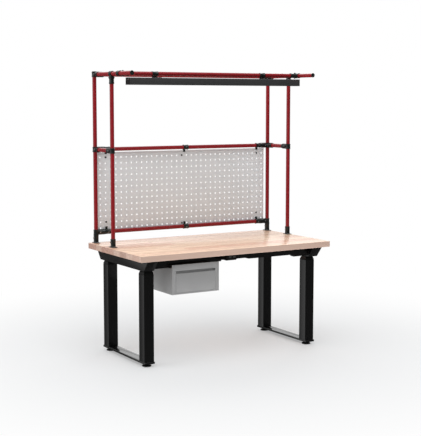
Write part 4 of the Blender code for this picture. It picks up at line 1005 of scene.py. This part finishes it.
def make_light(sizes):
    """The light bar with its end caps, cover and clamped hangers."""
    low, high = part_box("light_housing")
    top = low.z + LIGHT_HEIGHT
    back = low.y + LIGHT_DEPTH
    ease = PROFILE_EASE
    bend = ease * PROFILE_BEND
    outline = [(low.y, low.z), (low.y, top - ease), (low.y + bend, top - bend),
               (low.y + ease, top), (back - ease, top), (back - bend, top - bend),
               (back, top - ease), (back, low.z)]
    wall = PROFILE_WALL
    hollow = [(back - wall, low.z), (back - wall, top - ease - wall),
              (low.y + wall, top - ease - wall), (low.y + wall, low.z)]
    shape = bmesh.new()
    prism(shape, outline + hollow, low.x + END_CAP, high.x - END_CAP, CROSSWISE)
    finish_piece("light_profile", shape, "lift", "light_coat", ["light_housing"])
    for side, edge, sign in (("left", low.x, -1), ("right", high.x, 1)):
        shape = bmesh.new()
        prism(shape, outline, *sorted((edge - sign * END_CAP, edge)), CROSSWISE)
        ease_edges(shape, END_CAP_EASE)
        finish_piece(f"light_cap_{side}", shape, "lift", "black_plastic")
        for y in (low.y + END_SCREW_INSET, back - END_SCREW_INSET):
            spot = (edge - sign * END_SCREW_SINK, y, top - END_SCREW_DROP)
            note_screw("small_screws", spot, ALONG * sign)
    centre = (low.x + high.x) / 2 + HANGER_SHIFT
    reach = (high.x - low.x) / 2 - HANGER_INSET
    for side, sign in SIDES:
        make_hanger(side, centre + sign * reach, top, low.y, sizes)
    softened("light_diffuser", "lift", "opal_cover", COVER_EASE)
    repaint("led_board", "board_white")


HANGER_NECK_INSET = 0.004
HANGER_NECK_HALF = 0.005
HANGER_NECK_RISE = 0.001
HANGER_FOOT_MARGIN = 0.005
HANGER_FOOT_LIFT = 0.0001
HANGER_FOOT_TOP = 0.0022
HANGER_FOOT_EASE = 0.0005
HANGER_SCREW_SHARE = 0.6
HANGER_SCREW_FRONT = 0.013
HANGER_SCREW_RISE = 0.0024


def make_hanger(side, x, top, front, sizes):
    """A clamp on the front bar with a neck and a foot on the light bar."""
    radius = sizes.strap_diameter / 2
    bore = sizes.pipe_diameter / 2 + FIT
    half = HANGER_WIDTH / 2
    neck = half - HANGER_NECK_INSET
    shape = bmesh.new()
    banded_ring(shape, at((x, BAR_Y, TOP_Z), ALONG), radius, bore, half, STRAP_RIM)
    box(shape, (x - neck, BAR_Y - HANGER_NECK_HALF, top + HANGER_NECK_RISE),
        (x + neck, BAR_Y + HANGER_NECK_HALF, TOP_Z - (bore + radius) / 2))
    foot = bmesh.new()
    box(foot, (x - half, front + HANGER_FOOT_MARGIN, top + HANGER_FOOT_LIFT),
        (x + half, front + LIGHT_DEPTH - HANGER_FOOT_MARGIN, top + HANGER_FOOT_TOP))
    ease_edges(foot, HANGER_FOOT_EASE)
    made = as_mesh("foot", foot)
    shape.from_mesh(made)
    bpy.data.meshes.remove(made)
    finish_piece(f"light_hanger_{side}", shape, "lift", "joint_coat")
    for sign in (-1, 1):
        note_screw("small_screws", (x + sign * half * HANGER_SCREW_SHARE,
                                    front + HANGER_SCREW_FRONT, top + HANGER_SCREW_RISE), UP)


def make_screws(sizes):
    """Every screw head, as one piece for each kind."""
    tree = screw_tree()
    for kind, row in SCREW_KINDS.items():
        slot, setting, head, height, sides, recess, washer, washer_height = row
        width = getattr(sizes, setting)
        mesh = bpy.data.meshes.new(kind)
        mesh.from_pydata([point for point, _ in SCREWS[kind]], [], [])
        aims = mesh.attributes.new("aim", "FLOAT_VECTOR", "POINT")
        for index, (_, direction) in enumerate(SCREWS[kind]):
            aims.data[index].vector = direction
        made = grown(kind, mesh, tree, {
            "Head Diameter": width * head, "Head Height": width * height,
            "Head Sides": sides, "Recess Share": recess, "Washer Diameter": width * washer,
            "Washer Height": washer_height, "Material": surface_of(slot)})
        as_piece(kind, made, "lift", slot)


# Stage

AIM = Vector((0, 0, 0.9))
CAMERA_SENSOR = 36
# Each lamp: its setting, where it stands and how wide it is
LAMPS = (("key", (-4.5, 0.5, 4.2), 3.0), ("top", (-0.7, -1.6, 4.8), 4.0),
         ("rim", (3.8, 2.8, 3.4), 2.5))
# Each bright side of the dome: its setting, direction, and where it starts and is full
LOBES = (("left", (-0.94, 0.34, 0.1), 0.66, 0.9), ("rear", (0.36, 0.9, 0.5), 0.8, 0.97),
         ("upper", (0, 0, 1), 0.25, 0.9))


def make_stage(settings):
    """Floor, studio light and the camera."""
    scene = bpy.context.scene
    make_floor(scene, settings)
    studio_world(scene, settings)
    for key, place, size in LAMPS:
        data = bpy.data.lights.new(f"{key}_light", "AREA")
        data.shape = "DISK"
        data.size = size
        data.energy = getattr(settings, f"{key}_power")
        lamp = bpy.data.objects.new(f"{key}_light", data)
        scene.collection.objects.link(lamp)
        lamp.matrix_world = at(place, Vector(place) - AIM)
    camera = bpy.data.objects.new("camera", bpy.data.cameras.new("camera"))
    scene.collection.objects.link(camera)
    camera.data.lens = settings.lens
    camera.data.sensor_width = CAMERA_SENSOR
    camera.location = settings.camera_place
    camera.rotation_euler = settings.camera_turn
    scene.camera = camera
    scene.view_settings.view_transform = "Standard"


def make_floor(scene, settings):
    """A floor that turns white away from the bench and sends light up under it."""
    shape = bmesh.new()
    bmesh.ops.create_grid(shape, x_segments=1, y_segments=1, size=settings.floor_reach)
    mesh = as_mesh("floor", shape)
    floor = bpy.data.objects.new("floor", mesh)
    scene.collection.objects.link(floor)
    surface, tree, shader, where = blank_material("Pale floor")
    shader["Base Color"].default_value = (*settings.floor_colour, 1)
    shader["Specular IOR Level"].default_value = 0.0
    away = vectors(tree, "LENGTH", "Value", where["Object"])
    fade = remapped(tree, away, settings.fade_start, settings.fade_end, settings.floor_glow,
                    smooth=True)
    sent = remapped(tree, away, settings.fade_start, settings.bounce_end,
                    settings.floor_bounce, settings.far_bounce, smooth=True)
    glow, bounce = (out(tree, "ShaderNodeEmission", {
        "Color": (*settings.backdrop_colour, 1), "Strength": strength})
        for strength in (1.0, sent))
    rays = put(tree, "ShaderNodeLightPath").outputs
    own = tree.nodes["Principled BSDF"].outputs[0]
    lit = mixed_shader(tree, rays["Is Diffuse Ray"], mixed_shader(tree, fade, own, glow), bounce)
    both = mixed_shader(tree, rays["Is Glossy Ray"], lit, out(tree, "ShaderNodeBsdfTransparent"))
    fill(tree, tree.nodes["Material Output"].inputs, {"Surface": both})
    mesh.materials.append(surface)


def studio_world(scene, settings):
    """White to the camera, and for what it lights a dark dome with three bright sides."""
    world = bpy.data.worlds.new("studio")
    scene.world = world
    world.use_nodes = True
    tree = world.node_tree
    tree.nodes.clear()
    where = put(tree, "ShaderNodeTexCoord").outputs["Generated"]
    strength = settings.dome_floor
    for key, side, start, end in LOBES:
        near = vectors(tree, "DOT_PRODUCT", "Value", where, Vector(side).normalized())
        lobe = remapped(tree, near, start, end, high=getattr(settings, f"{key}_strength"),
                        smooth=True)
        strength = maths(tree, "ADD", lobe, strength)
    dome = out(tree, "ShaderNodeBackground", {"Color": (1, 1, 1, 1), "Strength": strength})
    plain = out(tree, "ShaderNodeBackground", {
        "Color": (*settings.backdrop_colour, 1), "Strength": 1.0})
    seen = put(tree, "ShaderNodeLightPath").outputs["Is Camera Ray"]
    put(tree, "ShaderNodeOutputWorld", {"Surface": mixed_shader(tree, seen, dome, plain)})


# Settings

def amount(name, description, default, **more):
    """A number that a user can change."""
    return bpy.props.FloatProperty(name=name, description=description, default=default, **more)


def length(name, description, default):
    """A length that a user can change."""
    return amount(name, description, default, unit="LENGTH", precision=4)


def colour(name, description, default):
    """A colour that a user can change."""
    return bpy.props.FloatVectorProperty(name=name, description=description, default=default,
                                         subtype="COLOR", size=3, min=0, max=1)


class BenchSizes(bpy.types.PropertyGroup):
    """Sizes of the finer pieces."""
    top_edge: length("Top edge", "Radius of the worktop's edges", 0.003)
    column_corner: length("Column corner", "Outer corner radius of the columns", 0.0025)
    column_wall: length("Column wall", "Wall of the outer columns", 0.003)
    collar_height: length("Collar height", "Height of the tapered collars", 0.021)
    collar_lip: length("Collar lip", "Wall at the mouth of the collars", 0.002)
    pipe_diameter: length("Pipe", "Diameter of the rack's pipes", 0.028)
    joint_diameter: length("Joint", "Diameter of the clamp joints", 0.0365)
    strap_diameter: length("Strap", "Diameter of the light bar's straps", 0.0325)
    bolt_head: length("Bolt head", "Width of the joint bolts' heads", 0.0088)
    screw_head: length("Screw head", "Width of the small screws' heads", 0.008)
    arrow_size: length("Arrow", "Half width of the buttons' arrows", 0.0035)


class BenchColours(bpy.types.PropertyGroup):
    """Base colours of the finishes."""
    beech_pale: colour("Beech, pale", "Palest staves", (0.93, 0.68, 0.5))
    beech_deep: colour("Beech, deep", "Deepest staves", (0.74, 0.45, 0.32))
    frame: colour("Frame", "Powder coat of the frame", (0.0025, 0.0025, 0.0026))
    plastic: colour("Plastic", "Moulded plastic", (0.004, 0.004, 0.004))
    button: colour("Button", "Push buttons", (0.03, 0.03, 0.03))
    joint: colour("Joint", "Clamp joints", (0.006, 0.009, 0.008))
    pipe: colour("Pipe", "Coat of the pipes", (0.25, 0.006, 0.011))
    drawer: colour("Drawer", "Paint of the drawer unit", (0.275, 0.275, 0.276))
    panel: colour("Panel", "Paint of the perforated panel", (0.745, 0.768, 0.787))
    light: colour("Light bar", "Coat of the light bar", (0.042, 0.042, 0.043))
    zinc: colour("Zinc", "Screws and screw drives", (0.42, 0.42, 0.43))
    opal: colour("Opal", "Cover of the light bar", (0.86, 0.86, 0.84))


class BenchStage(bpy.types.PropertyGroup):
    """Floor, light and camera."""
    floor_reach: length("Floor reach", "Half width of the floor", 60.0)
    floor_colour: colour("Floor", "Colour of the floor", (0.663, 0.678, 0.69))
    backdrop_colour: colour("Backdrop", "Colour behind the bench", (1.0, 1.0, 1.0))
    floor_glow: amount("Floor glow", "How much of the floor is white under the bench", 0.33,
                       subtype="FACTOR", min=0, max=1)
    floor_bounce: amount("Floor bounce", "Light that the floor sends up under the bench", 3.2,
                         min=0)
    far_bounce: amount("Far bounce", "Light that the floor sends up away from the bench", 1.0,
                       min=0)
    bounce_end: length("Bounce end", "Distance at which the far bounce is reached", 2.4)
    fade_start: length("Fade start", "Distance from which the floor turns white", 0.4)
    fade_end: length("Fade end", "Distance at which the floor is white", 2.8)
    dome_floor: amount("Dome", "Light from the whole dome", 0.1, min=0)
    left_strength: amount("Left side", "Light from the dome's left side", 0.85, min=0)
    rear_strength: amount("Rear side", "Light from the dome's rear side", 1.3, min=0)
    upper_strength: amount("Upper side", "Light from above", 0.62, min=0)
    key_power: amount("Key", "Power of the left light", 40, unit="POWER")
    top_power: amount("Top", "Power of the upper light", 112, unit="POWER")
    rim_power: amount("Rim", "Power of the rear light", 40, unit="POWER")
    lens: amount("Lens", "Focal length in millimetres", 89.2)
    camera_place: bpy.props.FloatVectorProperty(
        name="Camera place", description="Where the camera stands",
        default=(-3.879, -6.449, 1.737), subtype="TRANSLATION", unit="LENGTH")
    camera_turn: bpy.props.FloatVectorProperty(
        name="Camera turn", description="How the camera is turned",
        default=(math.radians(90 - 6.205), 0, math.radians(-31.06)), subtype="EULER",
        unit="ROTATION")


SETTINGS = {"bench_sizes": BenchSizes, "bench_colours": BenchColours, "bench_stage": BenchStage}


class PieceOperator:
    """What the operators share: the function that each runs, and its settings."""
    bl_options = {"REGISTER", "UNDO"}
    settings = "bench_sizes"

    def execute(self, context):
        """Make the pieces."""
        self.make(getattr(context.scene, self.settings))
        return {"FINISHED"}


class BENCH_OT_worktop(PieceOperator, bpy.types.Operator):
    """Make the worktop"""
    bl_idname = "bench.worktop"
    bl_label = "Worktop"
    make = staticmethod(make_worktop)


class BENCH_OT_columns(PieceOperator, bpy.types.Operator):
    """Make the columns and their collars"""
    bl_idname = "bench.columns"
    bl_label = "Columns"
    make = staticmethod(make_columns)


class BENCH_OT_base(PieceOperator, bpy.types.Operator):
    """Make the base plates and the feet"""
    bl_idname = "bench.base"
    bl_label = "Base and feet"
    make = staticmethod(make_base)


class BENCH_OT_frame(PieceOperator, bpy.types.Operator):
    """Make the side rails and beams"""
    bl_idname = "bench.frame"
    bl_label = "Rails and beams"
    make = staticmethod(make_frame)


class BENCH_OT_controller(PieceOperator, bpy.types.Operator):
    """Make the controller, the handset and its buttons"""
    bl_idname = "bench.controller"
    bl_label = "Controller and handset"
    make = staticmethod(make_controller)


class BENCH_OT_drawer(PieceOperator, bpy.types.Operator):
    """Make the drawer unit"""
    bl_idname = "bench.drawer"
    bl_label = "Drawer unit"
    make = staticmethod(make_drawer)


class BENCH_OT_pipes(PieceOperator, bpy.types.Operator):
    """Make the rack's pipes and caps"""
    bl_idname = "bench.pipes"
    bl_label = "Pipes"
    make = staticmethod(make_pipes)


class BENCH_OT_joints(PieceOperator, bpy.types.Operator):
    """Make the clamp joints"""
    bl_idname = "bench.joints"
    bl_label = "Clamp joints"
    make = staticmethod(make_joints)


class BENCH_OT_sockets(PieceOperator, bpy.types.Operator):
    """Make the sockets on the worktop"""
    bl_idname = "bench.sockets"
    bl_label = "Sockets"
    make = staticmethod(make_sockets)


class BENCH_OT_clips(PieceOperator, bpy.types.Operator):
    """Make the panel clips"""
    bl_idname = "bench.clips"
    bl_label = "Panel clips"
    make = staticmethod(make_clips)


class BENCH_OT_panel(PieceOperator, bpy.types.Operator):
    """Paint the perforated panel"""
    bl_idname = "bench.panel"
    bl_label = "Perforated panel"
    make = staticmethod(make_panel)


class BENCH_OT_light(PieceOperator, bpy.types.Operator):
    """Make the light bar"""
    bl_idname = "bench.light"
    bl_label = "Light bar"
    make = staticmethod(make_light)


class BENCH_OT_screws(PieceOperator, bpy.types.Operator):
    """Make every screw head that the other pieces noted"""
    bl_idname = "bench.screws"
    bl_label = "Screws and bolts"
    make = staticmethod(make_screws)


class BENCH_OT_stage(PieceOperator, bpy.types.Operator):
    """Make the floor, the light and the camera"""
    bl_idname = "bench.stage"
    bl_label = "Stage"
    make = staticmethod(make_stage)
    settings = "bench_stage"


OPERATORS = (
    BENCH_OT_worktop, BENCH_OT_columns, BENCH_OT_base, BENCH_OT_frame, BENCH_OT_controller,
    BENCH_OT_drawer, BENCH_OT_pipes, BENCH_OT_joints, BENCH_OT_sockets, BENCH_OT_clips,
    BENCH_OT_panel, BENCH_OT_light, BENCH_OT_screws, BENCH_OT_stage,
)


class BENCH_PT_pieces(bpy.types.Panel):
    """Lists the bench's settings and operators"""
    bl_idname = "BENCH_PT_pieces"
    bl_label = "Workbench"
    bl_space_type = "VIEW_3D"
    bl_region_type = "UI"
    bl_category = "Bench"

    def draw(self, context):
        """Draw the settings, then a button for each operator."""
        layout = self.layout
        for key, kind in SETTINGS.items():
            column = layout.column(align=True)
            for name in kind.__annotations__:
                column.prop(getattr(context.scene, key), name)
        for operator in OPERATORS:
            layout.operator(operator.bl_idname)


CLASSES = (*SETTINGS.values(), *OPERATORS, BENCH_PT_pieces)


def register():
    """Add the classes and the scene's settings."""
    for item in CLASSES:
        bpy.utils.register_class(item)
    for key, kind in SETTINGS.items():
        setattr(bpy.types.Scene, key, bpy.props.PointerProperty(type=kind))


def unregister():
    """Take them away again."""
    for key in reversed(SETTINGS):
        delattr(bpy.types.Scene, key)
    for item in reversed(CLASSES):
        bpy.utils.unregister_class(item)


def main():
    """Build every piece and the stage."""
    register()
    for item in list(bpy.context.scene.objects):
        if item.name in ("Cube", "Light", "Camera"):
            bpy.data.objects.remove(item, do_unlink=True)
    for operator in OPERATORS:
        group_name, name = operator.bl_idname.split(".")
        getattr(getattr(bpy.ops, group_name), name)()


if __name__ == "__main__":
    main()
